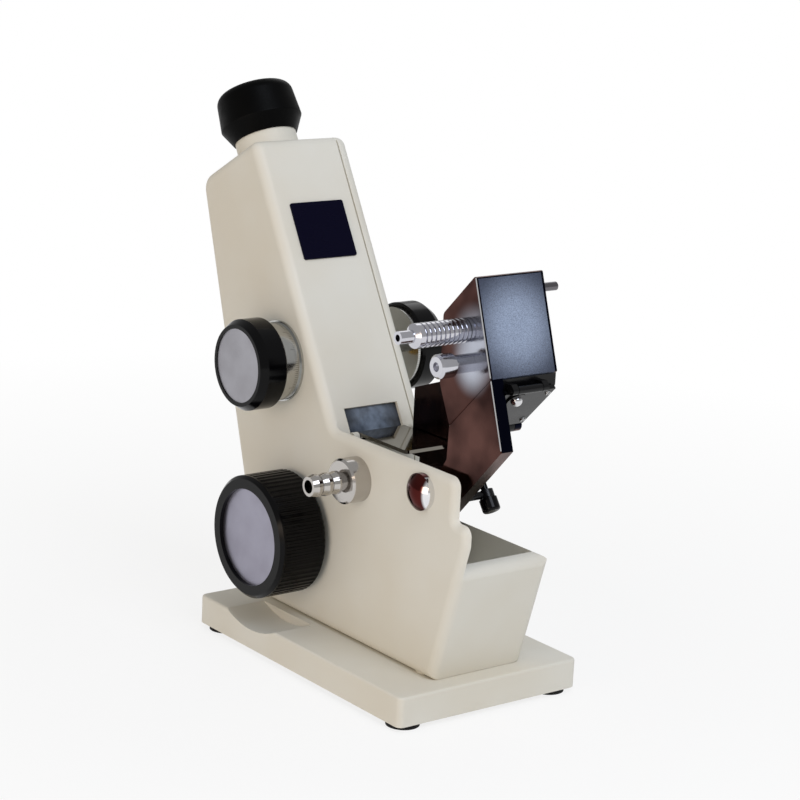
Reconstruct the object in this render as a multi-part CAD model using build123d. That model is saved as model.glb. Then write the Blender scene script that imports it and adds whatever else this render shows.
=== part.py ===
from build123d import *
import os
from math import acos, atan2, cos, degrees, hypot, pi, radians, sin, tan

# Abbe refractometer: a leaning tower with the eyepiece on top, an open tray in front of it,
# and the prism box held above the tray. Millimetres. +X points from the eyepiece side to the
# prism side, +Y away from the hand wheels that show, +Z up. While it is drawn, X and Y are 0
# at the centre of the base plate; `save` then puts the origin on the table, under the middle
# of the whole object. Names that end in _V and _U are places in the tower's own frame: V is
# square to its face and U runs up along it.

# ---------------------------------------------------------------- driving dimensions
# clearances
RUN = 0.05
GAP = 0.3
TOUCH = 0.0

# base
BASE_LENGTH = 157.0
BASE_WIDTH = 100.0
BASE_THICK = 13.5
BASE_CORNER = 3.0
BASE_EDGE = 1.2
FOOT_HEIGHT = 2.5
FOOT_RADIUS = 7.5
FOOT_STEM_RADIUS = 3.0
FOOT_STEM = 4.0
FOOT_INSET = 9.0
GROOVE_REACH = 21.0

# body casting and its far cover
BODY_HALF_WIDTH = 26.0
WALL = 3.0
REAR_FOOT_X = -65.8
REAR_LEAN = 17.4
FRONT_FOOT_X = 68.5
FRONT_LEAN = 16.0
TOWER_LEAN = 30.0
TOWER_FACE = 45.0
TOWER_TOP = 241.0
BODY_EDGE = 4.5
REAR_ROUND = 8.0
TOP_ROUND = 5.0
SHELF_ROUND = 5.0
FACE_FOOT_ROUND = 6.0
STEP_ROUND = 2.0
LEDGE_ROUND = 4.6
FRONT_ROUND = 6.0
FOOT_ROUND = 0.5
SHELF_RISE = 94.0
SHELF_FRONT_X = 78.5
LEDGE_DROP = 19.5
LEDGE_X = 87.3
TRAY_RIM_RISE = 54.0
TRAY_FLOOR_RISE = 34.0
TRAY_FRONT_WALL = 10.0
TRAY_EDGE = 4.0
TRAY_CORNER = 6.0
TRAY_FOOT_ROUND = 0.5
PARTITION_X = -8.5
COVER_SEAM_INSET = 6.5
SEAM_WIDTH = 0.8
SEAM_DEPTH = 1.0
POST_RADIUS = 4.0
POST_INSET = 7.5
POST_RISE = 21.0
POST_MIDDLE_RISE = 77.7

# screws of the base and the cover
BASE_SCREW_RADIUS = 2.5
BASE_SCREW_HEAD_RADIUS = 4.5
BASE_SCREW_HEAD = 3.5
BASE_SCREW_RECESS_RADIUS = 5.0
BASE_SCREW_RECESS = 5.0
BASE_SCREW_REACH = 10.0
BASE_SCREW_REAR = 4.8
BASE_SCREW_SEAM = 6.5
BASE_SCREW_FRONT = 11.5
BASE_SCREW_SIDE = 6.5
BASE_BOSS_RADIUS = 4.5
BASE_BOSS_HEIGHT = 14.0
COVER_SCREW_RADIUS = 1.5
COVER_SCREW_HEAD_RADIUS = 2.8
COVER_SCREW_HEAD = 1.8
COVER_SCREW_REACH = 9.0
SLOT_WIDTH = 0.8
SLOT_DEPTH = 0.7

# telescope and eyepiece
OPTIC_Y = -1.5
AXIS_BEHIND_FACE = 25.0
TUBE_RADIUS = 13.0
TUBE_BORE = 11.0
TUBE_ABOVE_WHEEL = 31.3
TUBE_RISE = 16.0
OBJECTIVE_SETBACK = 4.0
OBJECTIVE_THICK = 3.0
OBJECTIVE_BULGE = 1.2
RETICLE_DROP = 14.0
RETICLE_THICK = 1.5
COLLAR_RADIUS = 14.75
COLLAR_RISE = 21.0
CUP_RADIUS = 19.6
CUP_TIP_RADIUS = 18.0
CUP_FOOT_WALL = 0.8
CUP_RISE = 9.2
CUP_HEIGHT = 24.8
CUP_CONE = 7.5
CUP_EDGE = 5.4
CUP_LIP_EDGE = 1.0
CUP_SHOULDER_EDGE = 1.2
CUP_HOLE_RADIUS = 9.0
EYE_RECESS_RADIUS = 11.8
EYE_RECESS_TAPER = 1.0
EYE_RECESS = 7.0
CELL_WALL = 1.4
CELL_LENGTH = 21.0
CELL_RISE = 20.0
EYE_LENS_SEAT = 3.0
EYE_LENS_THICK = 3.0
EYE_LENS_BULGE = 1.5
EYE_LENS_PITCH = 10.0
FOCUS_TRAVEL = 2.0

# name panel and entry window on the tower's face
PANEL_WIDTH = 29.5
PANEL_HEIGHT = 27.5
PANEL_DROP = 32.5
PANEL_THICK = 0.8
PANEL_ROUND = 1.0
WINDOW_WIDTH = 30.0
WINDOW_HEIGHT = 11.5
WINDOW_ABOVE_FLAP = 1.2
WINDOW_LIP = 1.0
WINDOW_GLASS = 1.5

# scale relay beside the telescope
RELAY_V = 36.0
RELAY_FROM_WALL = 5.0
RELAY_RADIUS = 3.0
RELAY_BORE = 2.2
RELAY_START = 1.2
RELAY_END = 12.0
RELAY_PRISM = 5.0
RELAY_RIB_START = 25.0
RELAY_RIB_END = 15.0
RELAY_RIB = 4.0
RELAY_RIB_WIDTH = 9.0

# index drive: hand wheel, pinion, toothed sector and tilting mirror
INDEX_X = -36.0
INDEX_RISE = 40.5
INDEX_RADIUS = 28.4
INDEX_PROUD = 27.5
INDEX_STAND_OFF = 2.5
INDEX_EDGE = 1.5
INDEX_DISC_RADIUS = 22.4
INDEX_DISC_SINK = 2.0
INDEX_DISC_THICK = 3.0
INDEX_HOLLOW = 8.0
INDEX_HUB_RADIUS = 8.0
INDEX_FLUTES = 60
FLUTE_RADIUS = 1.0
FLUTE_CENTRE_OUT = 0.4
FLUTE_START = 2.5
INDEX_SHAFT_RADIUS = 4.0
INDEX_BUSH_RADIUS = 7.0
INDEX_BOSS_RADIUS = 10.0
FINGER_ROOM = 16.6
BEAM_TILT = 20.0
MIRROR_LENGTH = 18.5
MIRROR_WIDTH = 20.0
MIRROR_THICK = 2.0
MIRROR_TABLE_LENGTH = 14.0
PINION_TEETH = 12
SECTOR_TEETH = 100
SECTOR_HALF_COUNT = 6
SECTOR_FROM_WALL = 4.0
SECTOR_THICK = 4.0
SECTOR_RIM = 5.0
SECTOR_HUB_REACH = 13.0
SECTOR_SPOKE_BITE = 1.0
PIVOT_RADIUS = 2.0
PIVOT_HUB_RADIUS = 4.0
PIVOT_BOSS_WALL = 3.0
SCALE_RADIUS_IN = 17.0
SCALE_RADIUS_OUT = 26.0
SCALE_SPAN = 45.0
SCALE_MIDDLE = -6.0
SCALE_HOLD = 2.0
SCALE_HUB_WALL = 0.5
SCALE_CARRIER = 1.6
SCALE_FROM_WALL = 8.0
SCALE_GLASS = 1.4

# dispersion drive: two hand wheels, bevel pinions, two counter-turning prism mounts
DISPERSION_ABOVE_WINDOW = 32.0
WHEEL_RADIUS = 21.0
WHEEL_BEVEL = 2.2
WHEEL_BEVEL_DEPTH = 3.5
WHEEL_BACK_EDGE = 1.0
WHEEL_DISC_RADIUS = 17.0
WHEEL_DISC_DEPTH = 5.0
WHEEL_DISC_SINK = 0.5
WHEEL_WIDTH = 14.0
NEAR_WHEEL_PROUD = 24.0
NEAR_RING_RADIUS = 18.0
NEAR_RING_WIDTH = 7.5
FLANGE_RADIUS = 18.7
FLANGE_THICK = 2.2
FLANGE_STEP = 1.0
FAR_RING_STAND_OFF = 13.5
FAR_RING_RADIUS = 19.0
FAR_RING_WIDTH = 2.0
DISPERSION_SHAFT_RADIUS = 3.0
DISPERSION_BUSH_RADIUS = 5.0
NEAR_BUSH_GAP = 2.0
FAR_BUSH_GAP = 3.0
FAR_BUSH_PROUD = 2.5
BUSH_BOSS_WALL = 3.0
CROWN_TEETH = 36
CROWN_PITCH_RADIUS = 12.5
CROWN_FACE = 2.4
CROWN_THICK = 2.6
CROWN_EDGE = 0.3
BEVEL_WIDTH = 3.0
MOUNT_RADIUS = 8.5
MOUNT_BORE = 7.0
MOUNT_LENGTH = 18.6
FRAME_RADIUS = 12.0
FRAME_RING = 8.0
FRAME_BAR = 3.0
FRAME_BAR_WIDTH = 8.0
FRAME_BAR_GAP = 7.0
AMICI_WIDTH = 11.0
AMICI_LENGTH = 16.0
AMICI_SEAT = 2.0
AMICI_EDGE = 1.0

# tooth proportions, in modules, and the share of the pitch that a tooth fills
SECTOR_TOOTH = (0.8, 1.05, 0.45)
CROWN_TOOTH = (0.6, 0.85, 0.35)
PRESSURE_ANGLE = 20.0

# prism unit: the parting plane between box and lid starts low at the rear
PARTING_X = 64.0
PARTING_RISE = 19.3
PARTING_ANGLE = 45.0
PARTING_LENGTH = 36.0
UNIT_FRONT_LEAN = 18.2
UNIT_WIDTH = 36.5
UNIT_EDGE = 0.4
BOX_HEIGHT = 38.9
BOX_REAR_SETBACK = 7.9
BOX_TOP_EDGE = 0.8
BOX_WALL = 2.5
JACKET_WALL = 3.5
EXIT_ANGLE = 115.5
EXIT_WINDOW_START = 5.0
EXIT_WINDOW_END = 15.5
EXIT_WINDOW_RIM = 3.0
COVER_PLATE = 1.4
COVER_MARGIN = 1.2
PRISM_FACE = 27.0
PRISM_EXIT_FACE = 19.0
PRISM_WIDTH = 22.0

# near bracket and far arm that hold the box over the tray
CHEEK_THICK = 6.5
NOSE_DROP = 3.8
BRACKET_SLANT = 47.2
BRACKET_FOOT_DROP = 22.0
BRACKET_REAR_X = 46.0
BRACKET_HEEL_X = 59.0
BRACKET_NECK_X = 63.5
BRACKET_TOP_DROP = 2.5
BRACKET_NECK_RISE = 4.0
BRACKET_ROUND = 2.0
BRACKET_SCREW_X = 56.3
BRACKET_SCREW_DROP = 11.1
BRACKET_SCREW_RADIUS = 3.0
BUTTON_RADIUS = 8.2
BUTTON_SIDE = 2.5
BUTTON_DOME = 3.5
BRACKET_BOSS_RADIUS = 8.0
ARM_THICK = 4.0
ARM_REAR_X = -2.0
ARM_REAR_TOP_RISE = 17.5
ARM_REAR_LOW_DROP = 14.0
ARM_FRONT_RISE = 38.6
ARM_EXIT_HOLD = 9.0
ARM_ELBOW_X = 48.0
ARM_ELBOW_RISE = 0.5
ARM_POST_REAR_X = 4.0
ARM_POST_FRONT_X = 28.0
ARM_POST_TOP_DROP = 11.0
ARM_ROUND = 3.0
ARM_SCREW_X = 16.0
ARM_SCREW_RISE = 11.0
ARM_SCREW_RADIUS = 2.5
ARM_SPACER_WALL = 4.0
ARM_CAP_WALL = 2.0
ARM_CAP = 3.0
ARM_CAP_SOCKET_RADIUS = 1.5
ARM_CAP_SOCKET = 1.8

# lid under the box
LID_THICK = 3.7
LID_START = 2.6
LID_WEB = 1.0
LID_WEB_DROP = 1.2
LID_FRONT_TRIM = 0.4
LID_PIN_RADIUS = 1.5
LID_BARREL_RADIUS = 3.0
LID_BARREL_DROP = 3.7
LID_BARREL_BACK = 1.0
LID_EAR = 3.6
LID_PRISM_START = 7.0
LID_PRISM_LENGTH = 24.0
LID_PRISM_DEPTH = 2.6
LID_WINDOW_RIM = 2.0
PIN_END_WALL = 1.0

# reflecting mirror under the lid
REFLECTOR_LENGTH = 28.0
REFLECTOR_SETBACK = 1.0
REFLECTOR_THICK = 2.0
REFLECTOR_GLASS = 0.9
REFLECTOR_RIM = 1.2
REFLECTOR_GAP = 0.3
REFLECTOR_FAR_TRIM = 2.0
REFLECTOR_PIN_RADIUS = 0.9
REFLECTOR_BARREL_RADIUS = 1.8
REFLECTOR_BARREL_HALF = 6.5
REFLECTOR_LUG = 3.0
REFLECTOR_LUG_BITE = 4.0
REFLECTOR_NECK = 1.2
REFLECTOR_NECK_GAP = 0.6
KNOB_ALONG = 28.0
KNOB_OFFSET = 3.0
KNOB_RING_RADIUS = 4.4
KNOB_RING = 0.8
KNOB_RADIUS = 2.6
KNOB_STEM_RADIUS = 1.2
KNOB_STEM = 0.8

# clamp below the lid
CLAMP_BAR_X = 69.5
CLAMP_BAR_DROP = 12.5
CLAMP_BAR_RADIUS = 1.7
CLAMP_BAR_SEAT = 3.0
CLAMP_HEAD_RADIUS = 3.4
CLAMP_HEAD_THICK = 3.4
CLAMP_SCREW_RADIUS = 1.6
CLAMP_SCREW_TAIL = 7.0
CLAMP_KNOB_RADIUS = 4.0
CLAMP_KNOB_WIDTH = 6.0
CLAMP_KNOB_EDGE = 1.2
CLAMP_TILT = 35.6

# hose nipples, port cap and thermometer stub
BODY_NIPPLE_X = 9.5
BODY_NIPPLE_DROP = 17.7
NIPPLE_THREAD_RADIUS = 4.0
NIPPLE_THREAD = 4.0
NIPPLE_BOSS_RADIUS = 10.25
NIPPLE_BOSS = 9.5
NIPPLE_BOSS_EDGE = 1.0
NIPPLE_NECK_RADIUS = 4.0
NIPPLE_BARB_RADIUS = 5.2
NIPPLE_TIP_RADIUS = 4.4
NIPPLE_BORE = 3.0
NIPPLE_BARBS = 3
NIPPLE_BARB_PITCH = 5.5
NIPPLE_BARB_LAND = 1.6
NIPPLE_BARB_GROOVE = 1.2
NIPPLE_NECK = 2.0
BOX_NIPPLE_ALONG = 34.8
BOX_NIPPLE_HEIGHT = 25.6
BOX_THREAD_RADIUS = 3.0
RIB_RADIUS = 5.25
RIB_ROOT_RADIUS = 4.7
RIBS = 10
RIB_PITCH = 2.4
RIB_LAND = 1.4
RIB_SLOPE = 0.2
BOX_NIPPLE_COLLAR = 2.6
BOX_NIPPLE_CONE = 1.2
BOX_NIPPLE_TUBE = 7.2
BOX_NIPPLE_TUBE_RADIUS = 2.75
BOX_NIPPLE_BORE = 1.5
BOX_PORT_ALONG = 27.4
BOX_PORT_HEIGHT = 13.9
PORT_NECK_RADIUS = 4.0
PORT_NECK = 9.0
PORT_CAP_RADIUS = 5.25
PORT_CAP = 7.5
PORT_CAP_EDGE = 1.0
PORT_SOCKET_RADIUS = 2.0
PORT_SOCKET = 2.2
STUB_ALONG = 49.3
STUB_HEIGHT = 33.7
STUB_RADIUS = 1.9
STUB_SEAT = 2.5
STUB_REACH = 9.2
STUB_EDGE = 0.6

# scale mirror flap at the tower's foot
FLAP_DROP = 3.5
FLAP_LENGTH = 36.0
FLAP_WIDTH = 26.5
FLAP_THICK = 1.6
FLAP_ROUND = 2.0
FLAP_PIN_RADIUS = 1.0
FLAP_BARREL_RADIUS = 2.1
FLAP_LUG_WIDTH = 3.0

# ---------------------------------------------------------------- derived places
FAR_AWAY = 3 * (TOWER_TOP + BASE_LENGTH)
BASE_TOP = FOOT_HEIGHT + BASE_THICK
SHELF_Z = BASE_TOP + SHELF_RISE
LEDGE_Z = SHELF_Z - LEDGE_DROP
TRAY_RIM_Z = BASE_TOP + TRAY_RIM_RISE
TRAY_FLOOR_Z = BASE_TOP + TRAY_FLOOR_RISE
NEAR_INNER_Y = -BODY_HALF_WIDTH + WALL
FAR_INNER_Y = BODY_HALF_WIDTH - WALL
COVER_SEAM_Y = BODY_HALF_WIDTH - COVER_SEAM_INSET
RELAY_Y = NEAR_INNER_Y + RELAY_FROM_WALL
INDEX_FRONT_Y = -BODY_HALF_WIDTH - INDEX_PROUD
INDEX_BACK_Y = -BODY_HALF_WIDTH - INDEX_STAND_OFF
SECTOR_NEAR_Y = NEAR_INNER_Y + SECTOR_FROM_WALL
SCALE_CARRIER_Y = NEAR_INNER_Y + SCALE_FROM_WALL
NEAR_WHEEL_FRONT_Y = -BODY_HALF_WIDTH - NEAR_WHEEL_PROUD
FAR_RING_Y = BODY_HALF_WIDTH + FAR_RING_STAND_OFF
PINION_REACH = CROWN_PITCH_RADIUS + BEVEL_WIDTH / 2
NEAR_BUSH_INNER_Y = OPTIC_Y - PINION_REACH - NEAR_BUSH_GAP
FAR_BUSH_INNER_Y = OPTIC_Y + PINION_REACH + FAR_BUSH_GAP
FAR_BUSH_OUTER_Y = BODY_HALF_WIDTH + FAR_BUSH_PROUD
TOWER = Plane(
    origin=(0, 0, 0),
    x_dir=(cos(radians(TOWER_LEAN)), 0, sin(radians(TOWER_LEAN))),
    z_dir=(-sin(radians(TOWER_LEAN)), 0, cos(radians(TOWER_LEAN))),
).location
AXIS_V = TOWER_FACE - AXIS_BEHIND_FACE
CENTRE_MIN = (Align.CENTER, Align.CENTER, Align.MIN)


def side_line(normal_angle, x, z):
    """Straight edge of a side view, through (x, z): its outward normal and its offset."""
    nx = cos(radians(normal_angle))
    nz = sin(radians(normal_angle))
    return (nx, nz, nx * x + nz * z)


def level(z):
    """Horizontal edge with the material below it."""
    return side_line(90, 0, z)


def floor_at(z):
    """Horizontal edge with the material above it."""
    return side_line(-90, 0, z)


def inset(line, distance):
    """The same edge, moved inwards."""
    return (line[0], line[1], line[2] - distance)


def meet(a, b):
    """Corner (x, z) where two edges cross."""
    det = a[0] * b[1] - a[1] * b[0]
    return ((a[2] * b[1] - a[1] * b[2]) / det, (a[0] * b[2] - a[2] * b[0]) / det)


def outline_of(*lines):
    """Corners of the outline whose edges are the given lines, in order."""
    return [meet(lines[i - 1], lines[i]) for i in range(len(lines))]


def slab(points, y_low, y_high):
    """Plate with the side outline `points`, between two Y planes."""
    edge = Polyline(*[(x, y_low, z) for x, z in points], close=True)
    return extrude(make_face(edge), amount=y_high - y_low, dir=(0, 1, 0))


def block(x_low, x_high, y_low, y_high, z_low, z_high):
    """Box between two corners."""
    size = (x_high - x_low, y_high - y_low, z_high - z_low)
    return Pos(x_low, y_low, z_low) * Box(*size, align=(Align.MIN, Align.MIN, Align.MIN))


def rod(x, z, radius, y_low, y_high):
    """Round bar along Y."""
    return Pos(x, y_low, z) * Rot(-90, 0, 0) * Cylinder(radius, y_high - y_low, align=CENTRE_MIN)


def post(x, y, radius, z_low, z_high):
    """Round bar along Z."""
    return Pos(x, y, z_low) * Cylinder(radius, z_high - z_low, align=CENTRE_MIN)


def tower_rod(radius, u_low, u_high, v=AXIS_V, y=OPTIC_Y):
    """Round bar along the tower's own axis."""
    return TOWER * Pos(v, y, u_low) * Cylinder(radius, u_high - u_low, align=CENTRE_MIN)


def tower_block(v_low, v_high, y_low, y_high, u_low, u_high):
    """Box square to the tower's own axis."""
    return TOWER * block(v_low, v_high, y_low, y_high, u_low, u_high)


def turned(points):
    """Solid turned about Z from the half profile `points` (radius, height)."""
    edge = Polyline(*[(r, 0, h) for r, h in points], close=True)
    return revolve(make_face(edge), axis=Axis.Z)


def turned_y(points, x, z):
    """Solid turned about an axis along Y; each point is (radius, y)."""
    return Location((x, 0, z), (-90, 0, 0)) * turned(points)


def turned_tower(points):
    """Solid turned about the telescope's axis; each point is (radius, u)."""
    return TOWER * Pos(AXIS_V, OPTIC_Y, 0) * turned(points)


def tower_xz(v, u):
    """World (x, z) of a point of the tower frame."""
    lean = radians(TOWER_LEAN)
    return (v * cos(lean) - u * sin(lean), v * sin(lean) + u * cos(lean))


def tower_u(x, z):
    """How far up the tower frame a world (x, z) is."""
    lean = radians(TOWER_LEAN)
    return z * cos(lean) - x * sin(lean)


def polar(x, z, radius, angle):
    """Point at `radius` and `angle` (degrees from +X towards +Z) around (x, z)."""
    return (x + radius * cos(radians(angle)), z + radius * sin(radians(angle)))


def heading(start, end):
    """Angle in degrees from one (x, z) point to another."""
    return degrees(atan2(end[1] - start[1], end[0] - start[0]))


# side view of the body
FLOOR_LINE = floor_at(BASE_TOP)
REAR_LINE = side_line(180 + REAR_LEAN, REAR_FOOT_X, BASE_TOP)
TOP_LINE = side_line(90 + TOWER_LEAN, *tower_xz(TOWER_FACE, TOWER_TOP))
FACE_LINE = side_line(TOWER_LEAN, *tower_xz(TOWER_FACE, TOWER_TOP))
SHELF_LINE = level(SHELF_Z)
PARTITION_LINE = side_line(0, PARTITION_X, 0)
TRAY_BACK_LINE = side_line(180, PARTITION_X, 0)
FRONT_LINE = side_line(-FRONT_LEAN, FRONT_FOOT_X, BASE_TOP)
RIM_LINE = level(TRAY_RIM_Z)
LEDGE_LINE = side_line(0, LEDGE_X, 0)

# places along the tower, from the flap's hinge at its foot up to the eyecup
FLAP_PIVOT = meet(inset(FACE_LINE, -(FLAP_BARREL_RADIUS + GAP)), level(SHELF_Z - FLAP_DROP))
WINDOW_BOTTOM_U = tower_u(*meet(FACE_LINE, level(SHELF_Z - FLAP_DROP))) + WINDOW_ABOVE_FLAP
WINDOW_TOP_U = WINDOW_BOTTOM_U + WINDOW_HEIGHT
DISPERSION_U = WINDOW_TOP_U + DISPERSION_ABOVE_WINDOW
TUBE_BOTTOM = DISPERSION_U + TUBE_ABOVE_WHEEL
OBJECTIVE_U = TUBE_BOTTOM + OBJECTIVE_SETBACK
PANEL_TOP_U = TOWER_TOP - PANEL_DROP
RETICLE_U = TOWER_TOP - RETICLE_DROP
CELL_TOP = TOWER_TOP + CELL_RISE
CELL_BOTTOM = CELL_TOP - CELL_LENGTH
TUBE_TOP = TOWER_TOP + TUBE_RISE
COLLAR_TOP = TOWER_TOP + COLLAR_RISE
CUP_BOTTOM = TOWER_TOP + CUP_RISE
CUP_TOP = CUP_BOTTOM + CUP_HEIGHT
RELAY_BOTTOM = WINDOW_BOTTOM_U - RELAY_START
RELAY_TOP = RETICLE_U - RELAY_END
RELAY_RIBS = (RELAY_BOTTOM + RELAY_RIB_START, RELAY_TOP - RELAY_RIB_END)

# light path and drives in side view
AXIS_LINE = inset(FACE_LINE, AXIS_BEHIND_FACE)
WINDOW_MID = tower_xz(TOWER_FACE, (WINDOW_TOP_U + WINDOW_BOTTOM_U) / 2)
BEAM_LINE = side_line(90 + BEAM_TILT, *WINDOW_MID)
BEAM_TURN = meet(BEAM_LINE, AXIS_LINE)
MIRROR_NORMAL = (BEAM_TILT + 90 + TOWER_LEAN) / 2
PIVOT = polar(*BEAM_TURN, -(PIVOT_HUB_RADIUS + MIRROR_THICK), MIRROR_NORMAL)
INDEX = (INDEX_X, BASE_TOP + INDEX_RISE)
DISPERSION = tower_xz(AXIS_V, DISPERSION_U)
SECTOR_MODULE = 2 * hypot(PIVOT[0] - INDEX[0], PIVOT[1] - INDEX[1]) / (PINION_TEETH + SECTOR_TEETH)
SECTOR_HEADING = heading(PIVOT, INDEX)
SECTOR_FAR_Y = SECTOR_NEAR_Y + SECTOR_THICK
SECTOR_HUB_FAR_Y = OPTIC_Y + SECTOR_HUB_REACH
SCALE_GLASS_Y = SCALE_CARRIER_Y + SCALE_CARRIER
INDEX_DISC_BACK_Y = INDEX_FRONT_Y + INDEX_DISC_SINK + INDEX_DISC_THICK
NEAR_RING_FRONT_Y = NEAR_WHEEL_FRONT_Y + WHEEL_WIDTH
FAR_WHEEL_FRONT_Y = FAR_RING_Y + FAR_RING_WIDTH + WHEEL_WIDTH
CROWN_MODULE = 2 * CROWN_PITCH_RADIUS / CROWN_TEETH
BEVEL_PITCH_RADIUS = CROWN_MODULE * PINION_TEETH / 2
BEVEL_INNER = CROWN_PITCH_RADIUS - BEVEL_WIDTH / 2
LOWER_PITCH_U = DISPERSION_U - BEVEL_PITCH_RADIUS
UPPER_PITCH_U = DISPERSION_U + BEVEL_PITCH_RADIUS
CROWN_DEPTH = CROWN_TOOTH[1] * CROWN_MODULE + CROWN_THICK
LOWER_PLACE = TOWER * Pos(AXIS_V, OPTIC_Y, LOWER_PITCH_U)
UPPER_PLACE = TOWER * Pos(AXIS_V, OPTIC_Y, UPPER_PITCH_U) * Rot(180, 0, 0)

# prism unit in side view
UNIT_NEAR_Y = OPTIC_Y - UNIT_WIDTH / 2
UNIT_FAR_Y = OPTIC_Y + UNIT_WIDTH / 2
PARTING = (PARTING_X, SHELF_Z + PARTING_RISE)
PARTING_FRONT = polar(*PARTING, PARTING_LENGTH, PARTING_ANGLE)
PARTING_LINE = side_line(PARTING_ANGLE - 90, *PARTING)
UNIT_FRONT_LINE = side_line(UNIT_FRONT_LEAN, *PARTING_FRONT)
BOX_TOP_LINE = side_line(PARTING_ANGLE + 90, *polar(*PARTING, BOX_HEIGHT, PARTING_ANGLE + 90))
BOX_REAR_LINE = side_line(180, PARTING_X - BOX_REAR_SETBACK, 0)
EXIT_LINE = side_line(EXIT_ANGLE + 90, *PARTING)
PARTING_FRAME = Plane(
    origin=(PARTING[0], 0, PARTING[1]),
    x_dir=(cos(radians(PARTING_ANGLE)), 0, sin(radians(PARTING_ANGLE))),
    z_dir=(-sin(radians(PARTING_ANGLE)), 0, cos(radians(PARTING_ANGLE))),
).location


def parting_xz(along, height):
    """World (x, z) of a point `along` the parting plane and `height` above it."""
    return polar(*polar(*PARTING, along, PARTING_ANGLE), height, PARTING_ANGLE + 90)


CHEEK_INNER_Y = UNIT_NEAR_Y + CHEEK_THICK
ARM_NEAR_Y = UNIT_FAR_Y - ARM_THICK
BRACKET_SCREW = (BRACKET_SCREW_X, SHELF_Z - BRACKET_SCREW_DROP)
ARM_SCREW = (ARM_SCREW_X, TRAY_FLOOR_Z + ARM_SCREW_RISE)
BODY_NIPPLE = (BODY_NIPPLE_X, SHELF_Z - BODY_NIPPLE_DROP)
BOX_NIPPLE = parting_xz(BOX_NIPPLE_ALONG, BOX_NIPPLE_HEIGHT)
BOX_PORT = parting_xz(BOX_PORT_ALONG, BOX_PORT_HEIGHT)
STUB = parting_xz(STUB_ALONG, STUB_HEIGHT)
LID_PIVOT = parting_xz(-LID_BARREL_BACK, -LID_BARREL_DROP)
LID_NEAR_Y = CHEEK_INNER_Y + GAP
LID_FAR_Y = UNIT_FAR_Y - LID_EAR
LID_BOTTOM = GAP + LID_THICK
REFLECTOR_TOP = -LID_BOTTOM - REFLECTOR_GAP
REFLECTOR_BOTTOM = REFLECTOR_TOP - REFLECTOR_THICK
REFLECTOR_DROP = LID_BOTTOM + REFLECTOR_GAP + REFLECTOR_BARREL_RADIUS
REFLECTOR_ALONG = PARTING_LENGTH - REFLECTOR_SETBACK
REFLECTOR_PIVOT = parting_xz(REFLECTOR_ALONG, -REFLECTOR_DROP)
REFLECTOR_END = REFLECTOR_ALONG - REFLECTOR_BARREL_RADIUS - REFLECTOR_NECK_GAP
REFLECTOR_LUGS = (
    OPTIC_Y - REFLECTOR_BARREL_HALF - GAP - REFLECTOR_LUG,
    OPTIC_Y + REFLECTOR_BARREL_HALF + GAP,
)
CLAMP_BAR = (CLAMP_BAR_X, SHELF_Z - CLAMP_BAR_DROP)
CLAMP_STEM = (sin(radians(CLAMP_TILT)), -cos(radians(CLAMP_TILT)))
CLAMP_FRAME = Plane(
    origin=(CLAMP_BAR[0], OPTIC_Y, CLAMP_BAR[1]), z_dir=(CLAMP_STEM[0], 0, CLAMP_STEM[1])
).location
FLAP_NEAR_Y = OPTIC_Y - FLAP_WIDTH / 2
FLAP_FAR_Y = OPTIC_Y + FLAP_WIDTH / 2
FLAP_LUGS = (FLAP_NEAR_Y - GAP - FLAP_LUG_WIDTH, FLAP_FAR_Y + GAP)

# places of the screws that hold the base and the cover
BASE_SCREW_REAR_X = REAR_FOOT_X + BASE_SCREW_REAR
BASE_SCREW_FRONT_X = FRONT_FOOT_X - BASE_SCREW_FRONT
BASE_SCREW_SIDE_Y = BODY_HALF_WIDTH - BASE_SCREW_SIDE
BASE_SCREW_PLACES = [
    (BASE_SCREW_REAR_X, -BASE_SCREW_SIDE_Y),
    (BASE_SCREW_REAR_X, COVER_SEAM_Y - BASE_SCREW_SEAM),
    (BASE_SCREW_FRONT_X, -BASE_SCREW_SIDE_Y),
    (BASE_SCREW_FRONT_X, BASE_SCREW_SIDE_Y),
]
POST_TOP, POST_FACE, POST_REAR, POST_PARTITION = [
    inset(line, POST_INSET) for line in (TOP_LINE, FACE_LINE, REAR_LINE, PARTITION_LINE)
]
COVER_SCREW_PLACES = [
    meet(POST_TOP, POST_FACE),
    meet(POST_REAR, POST_TOP),
    meet(POST_REAR, level(BASE_TOP + POST_MIDDLE_RISE)),
    meet(POST_REAR, level(BASE_TOP + POST_RISE)),
    meet(POST_PARTITION, level(BASE_TOP + POST_RISE)),
]


# ---------------------------------------------------------------- shared shapes
def rounded_slab(corners, y_low, y_high):
    """Plate with a round at each corner (x, z, radius) of its side outline."""
    places = [Vector(x, y_low, z) for x, z, _ in corners]
    bends = []
    for i, (_, _, radius) in enumerate(corners):
        here = places[i]
        back = (places[i - 1] - here).normalized()
        ahead = (places[(i + 1) % len(places)] - here).normalized()
        half = radians(back.get_angle(ahead) / 2)
        reach = radius / tan(half)
        middle = here + (back + ahead).normalized() * (radius / sin(half) - radius)
        bends.append((here + back * reach, middle, here + ahead * reach))
    edges = []
    for i, (start, middle, end) in enumerate(bends):
        edges.append(Line(bends[i - 1][2], start))
        edges.append(ThreePointArc(start, middle, end))
    return extrude(make_face(edges), amount=y_high - y_low, dir=(0, 1, 0))


def parting_slab(along_low, along_high, height_low, height_high, y_low, y_high):
    """Block square to the parting plane of the prism unit."""
    size = (along_high - along_low, y_high - y_low, height_high - height_low)
    corner = Pos(along_low, y_low, height_low)
    return PARTING_FRAME * corner * Box(*size, align=(Align.MIN, Align.MIN, Align.MIN))


def cross_edges(solid, places):
    """Edges along Y that pass through one of these side-view places."""

    def wanted(edge):
        middle = edge.center()
        return any(hypot(middle.X - x, middle.Z - z) < 0.01 for x, z in places)

    return solid.edges().filter_by(Axis.Y).filter_by(wanted)


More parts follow.
